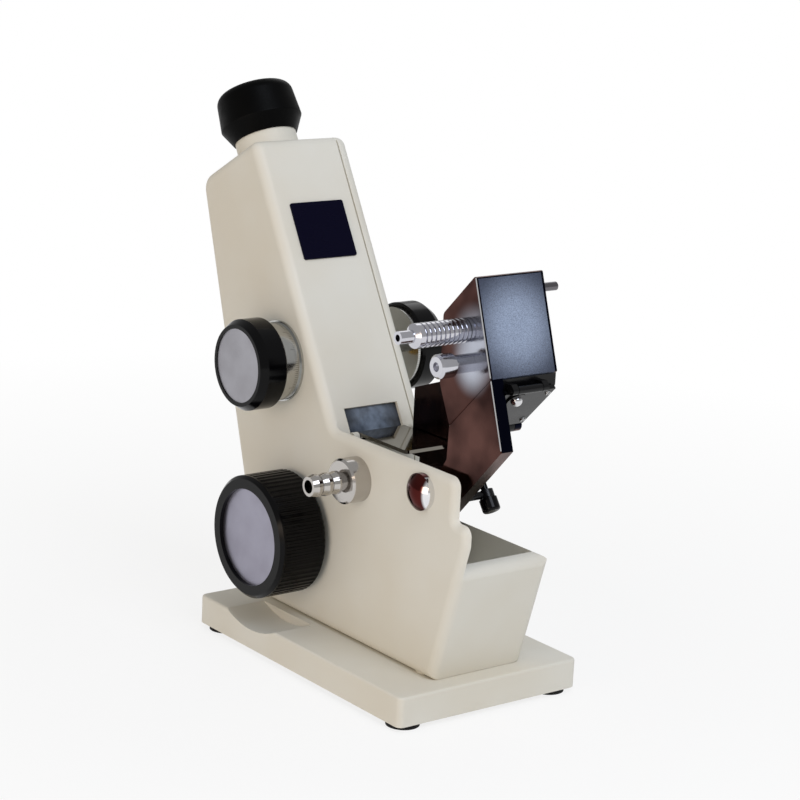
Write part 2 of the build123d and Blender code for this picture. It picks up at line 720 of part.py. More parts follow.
def face_edges(solid, y, lines):
    """Edges in the side face at this Y that lie on one of these side-view lines."""

    def wanted(edge):
        middle = edge.center()
        return any(abs(a * middle.X + b * middle.Z - c) < 0.01 for a, b, c in lines)

    return solid.edges().filter_by_position(Axis.Y, y - 0.01, y + 0.01).filter_by(wanted)


def rim_edges(solid, radius, height):
    """Circular edges about Z with this radius at this height."""

    def wanted(edge):
        off = abs(edge.center(CenterOf.BOUNDING_BOX).Z - height)
        return abs(edge.radius - radius) < 0.01 and off < 0.01

    return solid.edges().filter_by(GeomType.CIRCLE).filter_by(wanted)


def tooth_points(centre, teeth, module, tooth, angles):
    """Outline of involute teeth, one at each of the angles, as side-view points."""
    addendum, dedendum, share = tooth
    pitch_radius = teeth * module / 2
    base_radius = pitch_radius * cos(radians(PRESSURE_ANGLE))
    tip = pitch_radius + addendum * module
    root = pitch_radius - dedendum * module
    pressure = radians(PRESSURE_ANGLE)
    spread = share * pi / teeth + tan(pressure) - pressure
    start = max(root, base_radius)
    flank = []
    for step in range(5):
        radius = start + (tip - start) * step / 4
        tilt = acos(min(1.0, base_radius / radius))
        flank.append((radius, degrees(spread - tan(tilt) + tilt)))
    if root < base_radius:
        flank.insert(0, (root, flank[0][1]))
    points = []
    for angle in angles:
        points += [polar(*centre, radius, angle - half) for radius, half in flank]
        points += [polar(*centre, radius, angle + half) for radius, half in reversed(flank)]
    return points


def spur_pinion(centre, module, tooth, first_angle, y_low, y_high):
    """Small gear along Y with a tooth at `first_angle`."""
    angles = [first_angle + 360 / PINION_TEETH * i for i in range(PINION_TEETH)]
    return slab(tooth_points(centre, PINION_TEETH, module, tooth, angles), y_low, y_high)


def crown_gear():
    """Face gear about Z with its pitch plane at height 0, teeth upwards, gaps at +Y and -Y."""
    addendum, dedendum, share = CROWN_TOOTH
    rise = addendum * CROWN_MODULE
    fall = dedendum * CROWN_MODULE
    half = share * pi * CROWN_MODULE / 2
    slope = tan(radians(PRESSURE_ANGLE))
    inner = CROWN_PITCH_RADIUS - CROWN_FACE / 2
    outer = CROWN_PITCH_RADIUS + CROWN_FACE / 2 + CROWN_EDGE
    foot = half + fall * slope
    top = half - rise * slope
    edge = Polyline(
        (inner, -foot, -fall), (inner, -top, rise), (inner, top, rise), (inner, foot, -fall),
        close=True,
    )
    tooth = extrude(make_face(edge), amount=CROWN_FACE, dir=(1, 0, 0))
    disc = Pos(0, 0, -fall - CROWN_THICK) * Cylinder(outer, CROWN_THICK, align=CENTRE_MIN)
    step = 360 / CROWN_TEETH
    teeth = [Rot(0, 0, step * (i + 0.5)) * tooth for i in range(CROWN_TEETH)]
    return disc + teeth


def lens(radius, thickness, bulge):
    """Biconvex lens about Z, its rim from height 0 to `thickness`."""
    ball = (radius * radius + bulge * bulge) / (2 * bulge)
    blank = Pos(0, 0, -bulge) * Cylinder(radius, thickness + 2 * bulge, align=CENTRE_MIN)
    top = Pos(0, 0, thickness + bulge - ball) * Sphere(ball)
    bottom = Pos(0, 0, ball - bulge) * Sphere(ball)
    return blank & top & bottom


# ---------------------------------------------------------------- base
def foot_places():
    x = BASE_LENGTH / 2 - FOOT_INSET
    y = BASE_WIDTH / 2 - FOOT_INSET
    return [(-x, -y), (-x, y), (x, -y), (x, y)]


def base_plate():
    plate = Pos(0, 0, FOOT_HEIGHT) * Box(BASE_LENGTH, BASE_WIDTH, BASE_THICK, align=CENTRE_MIN)
    plate = fillet(plate.edges().filter_by(Axis.Z), BASE_CORNER)
    top = plate.faces().sort_by(Axis.Z)[-1]
    plate = fillet(top.edges(), BASE_EDGE)
    near = -BASE_WIDTH / 2
    plate -= rod(*INDEX, INDEX_RADIUS + FINGER_ROOM, near - 1, near + GROOVE_REACH)
    for x, y in foot_places():
        plate -= post(x, y, FOOT_STEM_RADIUS, FOOT_HEIGHT, FOOT_HEIGHT + FOOT_STEM)
    seat = FOOT_HEIGHT + BASE_SCREW_RECESS
    for x, y in BASE_SCREW_PLACES:
        plate -= post(x, y, BASE_SCREW_RECESS_RADIUS, FOOT_HEIGHT, seat)
        plate -= post(x, y, BASE_SCREW_RADIUS + GAP, FOOT_HEIGHT, BASE_TOP)
    return plate


def rubber_feet():
    feet = []
    for x, y in foot_places():
        pad = post(x, y, FOOT_RADIUS, 0, FOOT_HEIGHT)
        feet.append(pad + post(x, y, FOOT_STEM_RADIUS, FOOT_HEIGHT, FOOT_HEIGHT + FOOT_STEM))
    return feet


def base_screws():
    screws = []
    seat = FOOT_HEIGHT + BASE_SCREW_RECESS
    for x, y in BASE_SCREW_PLACES:
        head = post(x, y, BASE_SCREW_HEAD_RADIUS, seat - BASE_SCREW_HEAD, seat)
        screws.append(head + post(x, y, BASE_SCREW_RADIUS, seat, BASE_TOP + BASE_SCREW_REACH))
    return screws


# ---------------------------------------------------------------- body
def body_block():
    """Whole outside of the body, before it is hollowed and parted."""
    places = [
        (*meet(FLOOR_LINE, REAR_LINE), FOOT_ROUND),
        (*meet(REAR_LINE, TOP_LINE), REAR_ROUND),
        (*meet(TOP_LINE, FACE_LINE), TOP_ROUND),
        (*meet(FACE_LINE, SHELF_LINE), FACE_FOOT_ROUND),
        (SHELF_FRONT_X, SHELF_Z, SHELF_ROUND),
        (SHELF_FRONT_X, LEDGE_Z, STEP_ROUND),
        (LEDGE_X, LEDGE_Z, LEDGE_ROUND),
        (*meet(LEDGE_LINE, FRONT_LINE), FRONT_ROUND),
        (*meet(FRONT_LINE, FLOOR_LINE), FOOT_ROUND),
    ]
    solid = rounded_slab(places, -BODY_HALF_WIDTH, BODY_HALF_WIDTH)
    edges = []
    for side in (-BODY_HALF_WIDTH, BODY_HALF_WIDTH):
        outline = solid.edges().filter_by_position(Axis.Y, side - 0.01, side + 0.01)
        edges += outline.filter_by(lambda e: e.center().Z > BASE_TOP + FOOT_ROUND)
    return fillet(edges, BODY_EDGE)


def tower_space(distance, y_low, y_high):
    """Inside of the tower at this distance from its faces, open towards the base."""
    edges = [inset(line, distance) for line in (REAR_LINE, TOP_LINE, FACE_LINE, PARTITION_LINE)]
    return slab(outline_of(floor_at(0), *edges), y_low, y_high)


def cover_region(extra, y_low, y_high):
    """Part of the tower that the far cover closes, standing `extra` proud of its face."""
    edges = (
        floor_at(BASE_TOP - 1), PARTITION_LINE, inset(FACE_LINE, -extra), level(FAR_AWAY),
        side_line(180, -FAR_AWAY, 0),
    )
    return slab(outline_of(*edges), y_low, y_high)


def tray_space():
    """Pocket between the tower and the front wall."""
    front = inset(FRONT_LINE, TRAY_FRONT_WALL)
    edges = (floor_at(TRAY_FLOOR_Z), TRAY_BACK_LINE, level(FAR_AWAY), front)
    return slab(outline_of(*edges), NEAR_INNER_Y, FAR_INNER_Y)


def over_rim_space():
    """Air over the tray's rim, beside the near wall that carries the shelf."""
    face = (-FACE_LINE[0], -FACE_LINE[1], -FACE_LINE[2])
    ahead = side_line(0, FAR_AWAY, 0)
    edges = (floor_at(TRAY_RIM_Z), TRAY_BACK_LINE, face, level(FAR_AWAY), ahead)
    return slab(outline_of(*edges), NEAR_INNER_Y, FAR_AWAY)


def front_rim_space():
    """Air round the rounded top of the tray's front wall."""
    inner = inset(FRONT_LINE, TRAY_FRONT_WALL)
    foot = floor_at(TRAY_FLOOR_Z)
    wall = [
        (*meet(foot, inner), TRAY_FOOT_ROUND),
        (*meet(inner, RIM_LINE), TRAY_EDGE),
        (*meet(RIM_LINE, FRONT_LINE), TRAY_EDGE),
        (*meet(FRONT_LINE, foot), TRAY_FOOT_ROUND),
    ]
    start = floor_at(TRAY_RIM_Z - 2 * TRAY_EDGE)
    air = outline_of(start, inner, level(TRAY_RIM_Z + 1), inset(FRONT_LINE, -1))
    solid = slab(air, NEAR_INNER_Y, BODY_HALF_WIDTH + 1)
    return solid - rounded_slab(wall, NEAR_INNER_Y - 1, BODY_HALF_WIDTH + 2)


def far_rim_space():
    """Air round the rounded top of the tray's far wall."""
    y = BODY_HALF_WIDTH - TRAY_CORNER
    z = TRAY_RIM_Z - TRAY_CORNER
    corner = block(PARTITION_X, FAR_AWAY, y, BODY_HALF_WIDTH + 1, z, TRAY_RIM_Z + 1)
    bar = Pos(PARTITION_X, y, z) * Rot(0, 90, 0) * Cylinder(TRAY_CORNER, FAR_AWAY, align=CENTRE_MIN)
    return corner - bar


def under_tray_space():
    """Hollow below the tray floor, open towards the base."""
    top = level(TRAY_FLOOR_Z - WALL)
    edges = outline_of(floor_at(0), TRAY_BACK_LINE, top, inset(FRONT_LINE, WALL))
    return slab(edges, NEAR_INNER_Y, FAR_INNER_Y)


def window_space(lip, v_low, v_high):
    """Block over the entry window, wider than the opening by `lip` all round."""
    half = WINDOW_WIDTH / 2 + lip
    low = WINDOW_BOTTOM_U - lip
    return tower_block(v_low, v_high, OPTIC_Y - half, OPTIC_Y + half, low, WINDOW_TOP_U + lip)


def flap_lug(y):
    """Ear that holds the scale flap's pin in front of the tower."""
    x, z = FLAP_PIVOT
    ear = rod(x, z, FLAP_BARREL_RADIUS, y, y + FLAP_LUG_WIDTH)
    return ear + block(PARTITION_X - 1, x, y, y + FLAP_LUG_WIDTH, z - 2 * FLAP_BARREL_RADIUS, z)


def casting_bosses():
    """Bosses, posts and ribs inside the casting, and the flap's ears."""
    solids = [
        rod(*INDEX, INDEX_BOSS_RADIUS, NEAR_INNER_Y, SECTOR_NEAR_Y - 2 * GAP),
        rod(*PIVOT, PIVOT_RADIUS + PIVOT_BOSS_WALL, NEAR_INNER_Y, SECTOR_NEAR_Y - GAP),
    ]
    for x, y in BASE_SCREW_PLACES:
        solids.append(post(x, y, BASE_BOSS_RADIUS, BASE_TOP, BASE_TOP + BASE_BOSS_HEIGHT))
    for x, z in COVER_SCREW_PLACES:
        solids.append(rod(x, z, POST_RADIUS, NEAR_INNER_Y, COVER_SEAM_Y))
    for low in RELAY_RIBS:
        half = RELAY_RIB_WIDTH / 2
        span = (RELAY_V - half, RELAY_V + half, NEAR_INNER_Y, RELAY_Y)
        solids.append(tower_block(*span, low, low + RELAY_RIB))
    return solids + [flap_lug(y) for y in FLAP_LUGS]


def casting_holes():
    """Holes in the casting for screws, bushes, pins, tubes and the window."""
    near = -BODY_HALF_WIDTH
    flap_far = FLAP_LUGS[1] + FLAP_LUG_WIDTH
    solids = [
        rod(*INDEX, INDEX_BUSH_RADIUS, near, 0),
        rod(*DISPERSION, DISPERSION_BUSH_RADIUS, near, 0),
        rod(*PIVOT, PIVOT_RADIUS, NEAR_INNER_Y - WALL / 2, 0),
        rod(*BRACKET_SCREW, BRACKET_SCREW_RADIUS, near, 0),
        rod(*BODY_NIPPLE, NIPPLE_THREAD_RADIUS, near, 0),
        rod(*ARM_SCREW, ARM_SCREW_RADIUS, 0, BODY_HALF_WIDTH),
        rod(*FLAP_PIVOT, FLAP_PIN_RADIUS, FLAP_LUGS[0], flap_far),
        tower_rod(TUBE_RADIUS, TOWER_TOP - 2 * WALL, TOWER_TOP + 1),
        window_space(WINDOW_LIP, TOWER_FACE - WALL - 1, TOWER_FACE - WALL + WINDOW_GLASS),
        window_space(0, TOWER_FACE - WALL, TOWER_FACE + 1),
    ]
    for x, y in BASE_SCREW_PLACES:
        solids.append(post(x, y, BASE_SCREW_RADIUS, BASE_TOP, BASE_TOP + BASE_SCREW_REACH))
    for x, z in COVER_SCREW_PLACES:
        inner = COVER_SEAM_Y - COVER_SCREW_REACH
        solids.append(rod(x, z, COVER_SCREW_RADIUS, inner, COVER_SEAM_Y))
    for low in RELAY_RIBS:
        solids.append(tower_rod(RELAY_RADIUS, low, low + RELAY_RIB, RELAY_V, RELAY_Y))
    return solids


def body_casting():
    solid = body_block()
    solid -= cover_region(1, COVER_SEAM_Y, BODY_HALF_WIDTH + 1)
    solid -= tower_space(WALL, NEAR_INNER_Y, COVER_SEAM_Y + 1)
    solid -= tray_space()
    solid -= over_rim_space()
    solid -= under_tray_space()
    solid -= front_rim_space()
    solid -= far_rim_space()
    for boss in casting_bosses():
        solid += boss
    for hole in casting_holes():
        solid -= hole
    return solid


def window_glass():
    back = TOWER_FACE - WALL
    return window_space(WINDOW_LIP, back, back + WINDOW_GLASS)


def far_side_cover():
    solid = body_block() & cover_region(0, COVER_SEAM_Y, BODY_HALF_WIDTH + 1)
    solid -= tower_space(WALL, COVER_SEAM_Y - 1, FAR_INNER_Y)
    seam_end = COVER_SEAM_Y + SEAM_WIDTH
    seam = cover_region(1, COVER_SEAM_Y, seam_end)
    solid -= seam - tower_space(SEAM_DEPTH, COVER_SEAM_Y, seam_end)
    for x, z in COVER_SCREW_PLACES:
        solid += rod(x, z, POST_RADIUS, COVER_SEAM_Y, FAR_INNER_Y)
    bush = DISPERSION_BUSH_RADIUS + BUSH_BOSS_WALL
    solid += rod(*DISPERSION, bush, FAR_BUSH_INNER_Y, FAR_INNER_Y)
    hub = PIVOT_RADIUS + PIVOT_BOSS_WALL
    solid += rod(*PIVOT, hub, SECTOR_HUB_FAR_Y + GAP, FAR_INNER_Y)
    head_seat = BODY_HALF_WIDTH - COVER_SCREW_HEAD
    for x, z in COVER_SCREW_PLACES:
        solid -= rod(x, z, COVER_SCREW_RADIUS + GAP, COVER_SEAM_Y, BODY_HALF_WIDTH)
        solid -= rod(x, z, COVER_SCREW_HEAD_RADIUS + GAP, head_seat, BODY_HALF_WIDTH + 1)
    solid -= rod(*DISPERSION, DISPERSION_BUSH_RADIUS, 0, BODY_HALF_WIDTH)
    return solid - rod(*PIVOT, PIVOT_RADIUS, 0, FAR_INNER_Y)


def cover_screws():
    radius = COVER_SCREW_HEAD_RADIUS
    seat = BODY_HALF_WIDTH - COVER_SCREW_HEAD
    low = BODY_HALF_WIDTH - SLOT_DEPTH
    half = SLOT_WIDTH / 2
    screws = []
    for x, z in COVER_SCREW_PLACES:
        head = rod(x, z, radius, seat, BODY_HALF_WIDTH)
        slot = block(x - radius, x + radius, low, BODY_HALF_WIDTH, z - half, z + half)
        shank = rod(x, z, COVER_SCREW_RADIUS, COVER_SEAM_Y - COVER_SCREW_REACH, seat)
        screws.append(head - slot + shank)
    return screws


def slope_panel():
    half = PANEL_WIDTH / 2
    plate = block(0, PANEL_THICK, -half, half, PANEL_TOP_U - PANEL_HEIGHT, PANEL_TOP_U)
    plate = fillet(plate.edges().filter_by(Axis.X), PANEL_ROUND)
    return TOWER * Pos(TOWER_FACE, OPTIC_Y, 0) * plate


# ---------------------------------------------------------------- telescope and eyepiece
def eyepiece_collar():
    throat = TUBE_BORE + 2 * GAP
    profile = [
        (TUBE_RADIUS, TOWER_TOP), (COLLAR_RADIUS, TOWER_TOP), (COLLAR_RADIUS, COLLAR_TOP),
        (throat, COLLAR_TOP), (throat, TUBE_TOP), (TUBE_RADIUS, TUBE_TOP),
    ]
    return turned_tower(profile)


def telescope_tube():
    tube = turned_tower(
        [
            (TUBE_BORE, TUBE_BOTTOM), (TUBE_RADIUS, TUBE_BOTTOM),
            (TUBE_RADIUS, TUBE_TOP), (TUBE_BORE, TUBE_TOP),
        ]
    )
    aim = Plane(
        origin=(RELAY_V, RELAY_Y, RELAY_TOP + RELAY_PRISM / 2),
        z_dir=(AXIS_V - RELAY_V, OPTIC_Y - RELAY_Y, 0),
    ).location
    reach = hypot(AXIS_V - RELAY_V, OPTIC_Y - RELAY_Y)
    return tube - TOWER * aim * Cylinder(RELAY_BORE, reach, align=CENTRE_MIN)


def objective_lens():
    blank = lens(TUBE_BORE, OBJECTIVE_THICK, OBJECTIVE_BULGE)
    return TOWER * Pos(AXIS_V, OPTIC_Y, OBJECTIVE_U) * blank


def reticle():
    return tower_rod(TUBE_BORE, RETICLE_U, RETICLE_U + RETICLE_THICK)


def eyepiece_lens_cell():
    outer = TUBE_BORE - RUN
    inner = outer - CELL_WALL
    return turned_tower(
        [(inner, CELL_BOTTOM), (outer, CELL_BOTTOM), (outer, CELL_TOP), (inner, CELL_TOP)]
    )


def eyepiece_lenses():
    glass = lens(TUBE_BORE - RUN - CELL_WALL, EYE_LENS_THICK, EYE_LENS_BULGE)
    place = TOWER * Pos(AXIS_V, OPTIC_Y, CELL_BOTTOM + EYE_LENS_SEAT)
    return [place * glass, place * Pos(0, 0, EYE_LENS_PITCH) * glass]


def eyecup():
    bore = COLLAR_RADIUS + RUN
    web = CELL_TOP + FOCUS_TRAVEL + 2 * GAP
    floor = CUP_TOP - EYE_RECESS
    shoulder = CUP_BOTTOM + CUP_CONE
    profile = [
        (bore, CUP_BOTTOM), (COLLAR_RADIUS + CUP_FOOT_WALL, CUP_BOTTOM), (CUP_RADIUS, shoulder),
        (CUP_TIP_RADIUS, CUP_TOP), (EYE_RECESS_RADIUS, CUP_TOP),
        (EYE_RECESS_RADIUS - EYE_RECESS_TAPER, floor), (CUP_HOLE_RADIUS, floor),
        (CUP_HOLE_RADIUS, web), (bore, web),
    ]
    cup = turned(profile)
    cup = fillet(rim_edges(cup, CUP_TIP_RADIUS, CUP_TOP), CUP_EDGE)
    cup = fillet(rim_edges(cup, EYE_RECESS_RADIUS, CUP_TOP), CUP_LIP_EDGE)
    cup = fillet(rim_edges(cup, CUP_RADIUS, shoulder), CUP_SHOULDER_EDGE)
    return TOWER * Pos(AXIS_V, OPTIC_Y, 0) * cup


# ---------------------------------------------------------------- scale relay
def scale_relay_tube():
    tube = tower_rod(RELAY_RADIUS, RELAY_BOTTOM, RELAY_TOP, RELAY_V, RELAY_Y)
    return tube - tower_rod(RELAY_BORE, RELAY_BOTTOM, RELAY_TOP, RELAY_V, RELAY_Y)


def scale_relay_prisms():
    half = RELAY_PRISM / 2
    lower = Plane.YZ * Polyline((-half, -half), (half, -half), (half, half), close=True)
    upper = Plane.YZ * Polyline((-half, -half), (-half, half), (half, -half), close=True)
    prisms = []
    for face, middle in ((lower, RELAY_BOTTOM - half), (upper, RELAY_TOP + half)):
        wedge = extrude(make_face(face), amount=half, both=True)
        prisms.append(TOWER * Pos(RELAY_V, RELAY_Y, middle) * wedge)
    return prisms


# ---------------------------------------------------------------- index drive
def index_bush():
    y_low = INDEX_BACK_Y + GAP
    bush = rod(*INDEX, INDEX_BUSH_RADIUS, y_low, SECTOR_NEAR_Y - GAP)
    return bush - rod(*INDEX, INDEX_SHAFT_RADIUS + RUN, y_low, 0)


def index_wheel_rim():
    plain_end = INDEX_FRONT_Y + FLUTE_START
    outline = Circle(INDEX_RADIUS)
    flutes = PolarLocations(INDEX_RADIUS + FLUTE_CENTRE_OUT, INDEX_FLUTES)
    outline -= flutes * Circle(FLUTE_RADIUS)
    gripped = extrude(outline, INDEX_BACK_Y - plain_end)
    solid = Location((INDEX[0], plain_end, INDEX[1]), (-90, 0, 0)) * gripped
    solid += rod(*INDEX, INDEX_RADIUS, INDEX_FRONT_Y, plain_end)
    front = INDEX_FRONT_Y
    edge = INDEX_EDGE
    solid &= turned_y(
        [
            (INDEX_SHAFT_RADIUS, front), (INDEX_RADIUS - edge, front), (INDEX_RADIUS, front + edge),
            (INDEX_RADIUS, INDEX_BACK_Y - edge), (INDEX_RADIUS - edge, INDEX_BACK_Y),
            (INDEX_SHAFT_RADIUS, INDEX_BACK_Y),
        ],
        *INDEX,
    )
    solid -= rod(*INDEX, INDEX_DISC_RADIUS, front - 1, INDEX_DISC_BACK_Y)
    hollow = INDEX_BACK_Y - INDEX_HOLLOW
    return solid - turned_y(
        [
            (INDEX_HUB_RADIUS, hollow), (INDEX_DISC_RADIUS, hollow),
            (INDEX_DISC_RADIUS, INDEX_BACK_Y + 1), (INDEX_HUB_RADIUS, INDEX_BACK_Y + 1),
        ],
        *INDEX,
    )


def index_wheel_disc():
    return rod(*INDEX, INDEX_DISC_RADIUS, INDEX_FRONT_Y + INDEX_DISC_SINK, INDEX_DISC_BACK_Y)


def index_pinion_shaft():
    shaft = rod(*INDEX, INDEX_SHAFT_RADIUS, INDEX_DISC_BACK_Y, SECTOR_NEAR_Y)
    toward = SECTOR_HEADING + 180
    return shaft + spur_pinion(
        INDEX, SECTOR_MODULE, SECTOR_TOOTH, toward, SECTOR_NEAR_Y, SECTOR_FAR_Y
    )


def pivot_point(y):
    """3-D point on the tilting mirror's pivot at this Y."""
    return (PIVOT[0], y, PIVOT[1])


def scale_sector(radius_in, radius_out, y_low, y_high):
    """Ring sector about the mirror's pivot that carries or is the scale."""
    low = SCALE_MIDDLE - SCALE_SPAN / 2
    high = SCALE_MIDDLE + SCALE_SPAN / 2
    inner = [polar(*PIVOT, radius_in, angle) for angle in (low, SCALE_MIDDLE, high)]
    outer = [polar(*PIVOT, radius_out, angle) for angle in (high, SCALE_MIDDLE, low)]
    places = [Vector(x, y_low, z) for x, z in inner + outer]
    edges = [
        ThreePointArc(places[0], places[1], places[2]),
        Line(places[2], places[3]),
        ThreePointArc(places[3], places[4], places[5]),
        Line(places[5], places[0]),
    ]
    return extrude(make_face(edges), amount=y_high - y_low, dir=(0, 1, 0))


def sector_arm():
    pitch = 360 / SECTOR_TEETH
    count = SECTOR_HALF_COUNT
    angles = [SECTOR_HEADING + pitch * (i + 0.5) for i in range(-count, count)]
    rim = tooth_points(PIVOT, SECTOR_TEETH, SECTOR_MODULE, SECTOR_TOOTH, angles)
    side = pitch * (count + 0.4)
    inner = SECTOR_MODULE * SECTOR_TEETH / 2 - SECTOR_RIM
    back = [polar(*PIVOT, inner, SECTOR_HEADING + side * k / 2) for k in (2, 1, 0, -1, -2)]
    solid = slab(rim + back, SECTOR_NEAR_Y, SECTOR_FAR_Y)
    spoke = [
        polar(*PIVOT, inner + SECTOR_SPOKE_BITE, SECTOR_HEADING - side * 0.8),
        polar(*PIVOT, inner + SECTOR_SPOKE_BITE, SECTOR_HEADING + side * 0.8),
        polar(*PIVOT, PIVOT_HUB_RADIUS, SECTOR_HEADING + 80),
        polar(*PIVOT, PIVOT_HUB_RADIUS, SECTOR_HEADING - 80),
    ]
    solid += slab(spoke, SECTOR_NEAR_Y, SECTOR_FAR_Y)
    solid += rod(*PIVOT, PIVOT_HUB_RADIUS, SECTOR_NEAR_Y, SECTOR_HUB_FAR_Y)
    hub_hold = PIVOT_RADIUS + SCALE_HUB_WALL
    scale_hold = SCALE_RADIUS_IN + SCALE_HOLD
    solid += scale_sector(hub_hold, scale_hold, SCALE_CARRIER_Y, SCALE_GLASS_Y)
    table = Pos(0, OPTIC_Y, PIVOT_HUB_RADIUS / 2)
    table *= Box(MIRROR_TABLE_LENGTH, MIRROR_WIDTH, PIVOT_HUB_RADIUS)
    solid += Location(pivot_point(0), (0, 90 - MIRROR_NORMAL, 0)) * table
    return solid - rod(*PIVOT, PIVOT_RADIUS + RUN, SECTOR_NEAR_Y, SECTOR_HUB_FAR_Y)


def glass_scale():
    return scale_sector(SCALE_RADIUS_IN, SCALE_RADIUS_OUT, SCALE_GLASS_Y, SCALE_GLASS_Y + SCALE_GLASS)


def tilt_mirror():
    place = Location(pivot_point(0), (0, 90 - MIRROR_NORMAL, 0))
    middle = Pos(0, OPTIC_Y, PIVOT_HUB_RADIUS + MIRROR_THICK / 2)
    return place * middle * Box(MIRROR_LENGTH, MIRROR_WIDTH, MIRROR_THICK)


def sector_pivot_pin():
    return rod(*PIVOT, PIVOT_RADIUS, NEAR_INNER_Y - WALL / 2, FAR_INNER_Y)


# ---------------------------------------------------------------- dispersion drive
def dispersion_bushes():
    near_face = -BODY_HALF_WIDTH - FLANGE_THICK
    spans = ((near_face, NEAR_BUSH_INNER_Y), (FAR_BUSH_INNER_Y, FAR_BUSH_OUTER_Y))
    bushes = []
    for low, high in spans:
        bush = rod(*DISPERSION, DISPERSION_BUSH_RADIUS, low, high)
        bushes.append(bush - rod(*DISPERSION, DISPERSION_SHAFT_RADIUS + RUN, low, high))
    return bushes


def dispersion_index_flange():
    low = -BODY_HALF_WIDTH - FLANGE_THICK
    step = low + FLANGE_THICK / 2
    small = FLANGE_RADIUS - FLANGE_STEP
    return turned_y(
        [
            (DISPERSION_BUSH_RADIUS, low), (small, low), (small, step), (FLANGE_RADIUS, step),
            (FLANGE_RADIUS, -BODY_HALF_WIDTH), (DISPERSION_BUSH_RADIUS, -BODY_HALF_WIDTH),
        ],
        *DISPERSION,
    )


def wheel_rim(front, direction):
    """Black rim of a dispersion wheel: outer face at `front`, the body lies in `direction`."""
    profile = [
        (DISPERSION_SHAFT_RADIUS, WHEEL_DISC_DEPTH), (WHEEL_DISC_RADIUS, WHEEL_DISC_DEPTH),
        (WHEEL_DISC_RADIUS, 0), (WHEEL_RADIUS - WHEEL_BEVEL, 0),
        (WHEEL_RADIUS, WHEEL_BEVEL_DEPTH), (WHEEL_RADIUS, WHEEL_WIDTH - WHEEL_BACK_EDGE),
        (WHEEL_RADIUS - WHEEL_BACK_EDGE, WHEEL_WIDTH), (DISPERSION_SHAFT_RADIUS, WHEEL_WIDTH),
    ]
    return turned_y([(r, front + direction * depth) for r, depth in profile], *DISPERSION)


def near_dispersion_rim():
    return wheel_rim(NEAR_WHEEL_FRONT_Y, 1)


def near_dispersion_disc():
    low = NEAR_WHEEL_FRONT_Y + WHEEL_DISC_SINK
    return rod(*DISPERSION, WHEEL_DISC_RADIUS, low, NEAR_WHEEL_FRONT_Y + WHEEL_DISC_DEPTH)


def far_dispersion_rim():
    rim = wheel_rim(FAR_WHEEL_FRONT_Y, -1)
    low = FAR_WHEEL_FRONT_Y - WHEEL_DISC_DEPTH
    return rim + rod(*DISPERSION, WHEEL_DISC_RADIUS, low, FAR_WHEEL_FRONT_Y - WHEEL_DISC_SINK)


def near_scale_ring():
    low = NEAR_RING_FRONT_Y
    ring = rod(*DISPERSION, NEAR_RING_RADIUS, low, low + NEAR_RING_WIDTH)
    return ring - rod(*DISPERSION, DISPERSION_SHAFT_RADIUS, low, low + NEAR_RING_WIDTH)


def far_scale_ring():
    high = FAR_RING_Y + FAR_RING_WIDTH
    ring = rod(*DISPERSION, FAR_RING_RADIUS, FAR_RING_Y, high)
    return ring - rod(*DISPERSION, DISPERSION_SHAFT_RADIUS, FAR_RING_Y, high)


def near_pinion_shaft():
    gear_high = OPTIC_Y - BEVEL_INNER
    gear_low = gear_high - BEVEL_WIDTH
    low = NEAR_WHEEL_FRONT_Y + WHEEL_DISC_DEPTH
    shaft = rod(*DISPERSION, DISPERSION_SHAFT_RADIUS, low, gear_low)
    return shaft + spur_pinion(
        DISPERSION, CROWN_MODULE, CROWN_TOOTH, 90 + TOWER_LEAN, gear_low, gear_high
    )


def far_pinion_shaft():
    gear_low = OPTIC_Y + BEVEL_INNER
    gear_high = gear_low + BEVEL_WIDTH
    high = FAR_WHEEL_FRONT_Y - WHEEL_DISC_DEPTH
    shaft = rod(*DISPERSION, DISPERSION_SHAFT_RADIUS, gear_high, high)
    return shaft + spur_pinion(
        DISPERSION, CROWN_MODULE, CROWN_TOOTH, 90 + TOWER_LEAN, gear_low, gear_high
    )


# ---------------------------------------------------------------- compensator
def compensator_mount(place):
    """Sleeve with a crown gear on its inner end; it carries one direct-vision prism."""
    start = Pos(0, 0, -CROWN_DEPTH - MOUNT_LENGTH)
    sleeve = start * Cylinder(MOUNT_RADIUS, MOUNT_LENGTH, align=CENTRE_MIN)
    bore = start * Cylinder(MOUNT_BORE, MOUNT_LENGTH + CROWN_DEPTH, align=CENTRE_MIN)
    return place * (crown_gear() + sleeve - bore)


def amici_prism(place):
    """Direct-vision prism of three wedges, held by its rounded edges in the mount."""
    bar = Box(AMICI_WIDTH, AMICI_WIDTH, AMICI_LENGTH, align=CENTRE_MIN)
    bar &= Cylinder(MOUNT_BORE, AMICI_LENGTH, align=CENTRE_MIN)
    middle = Polyline(
        (-MOUNT_BORE, 0, AMICI_EDGE),
        (0, 0, AMICI_LENGTH - AMICI_EDGE),
        (MOUNT_BORE, 0, AMICI_EDGE),
        close=True,
    )
    wedge = extrude(make_face(middle), amount=MOUNT_BORE, both=True)
    seat = Pos(0, 0, -CROWN_DEPTH - MOUNT_LENGTH + AMICI_SEAT)
    return [place * seat * solid for solid in (bar & wedge).solids() + (bar - wedge).solids()]


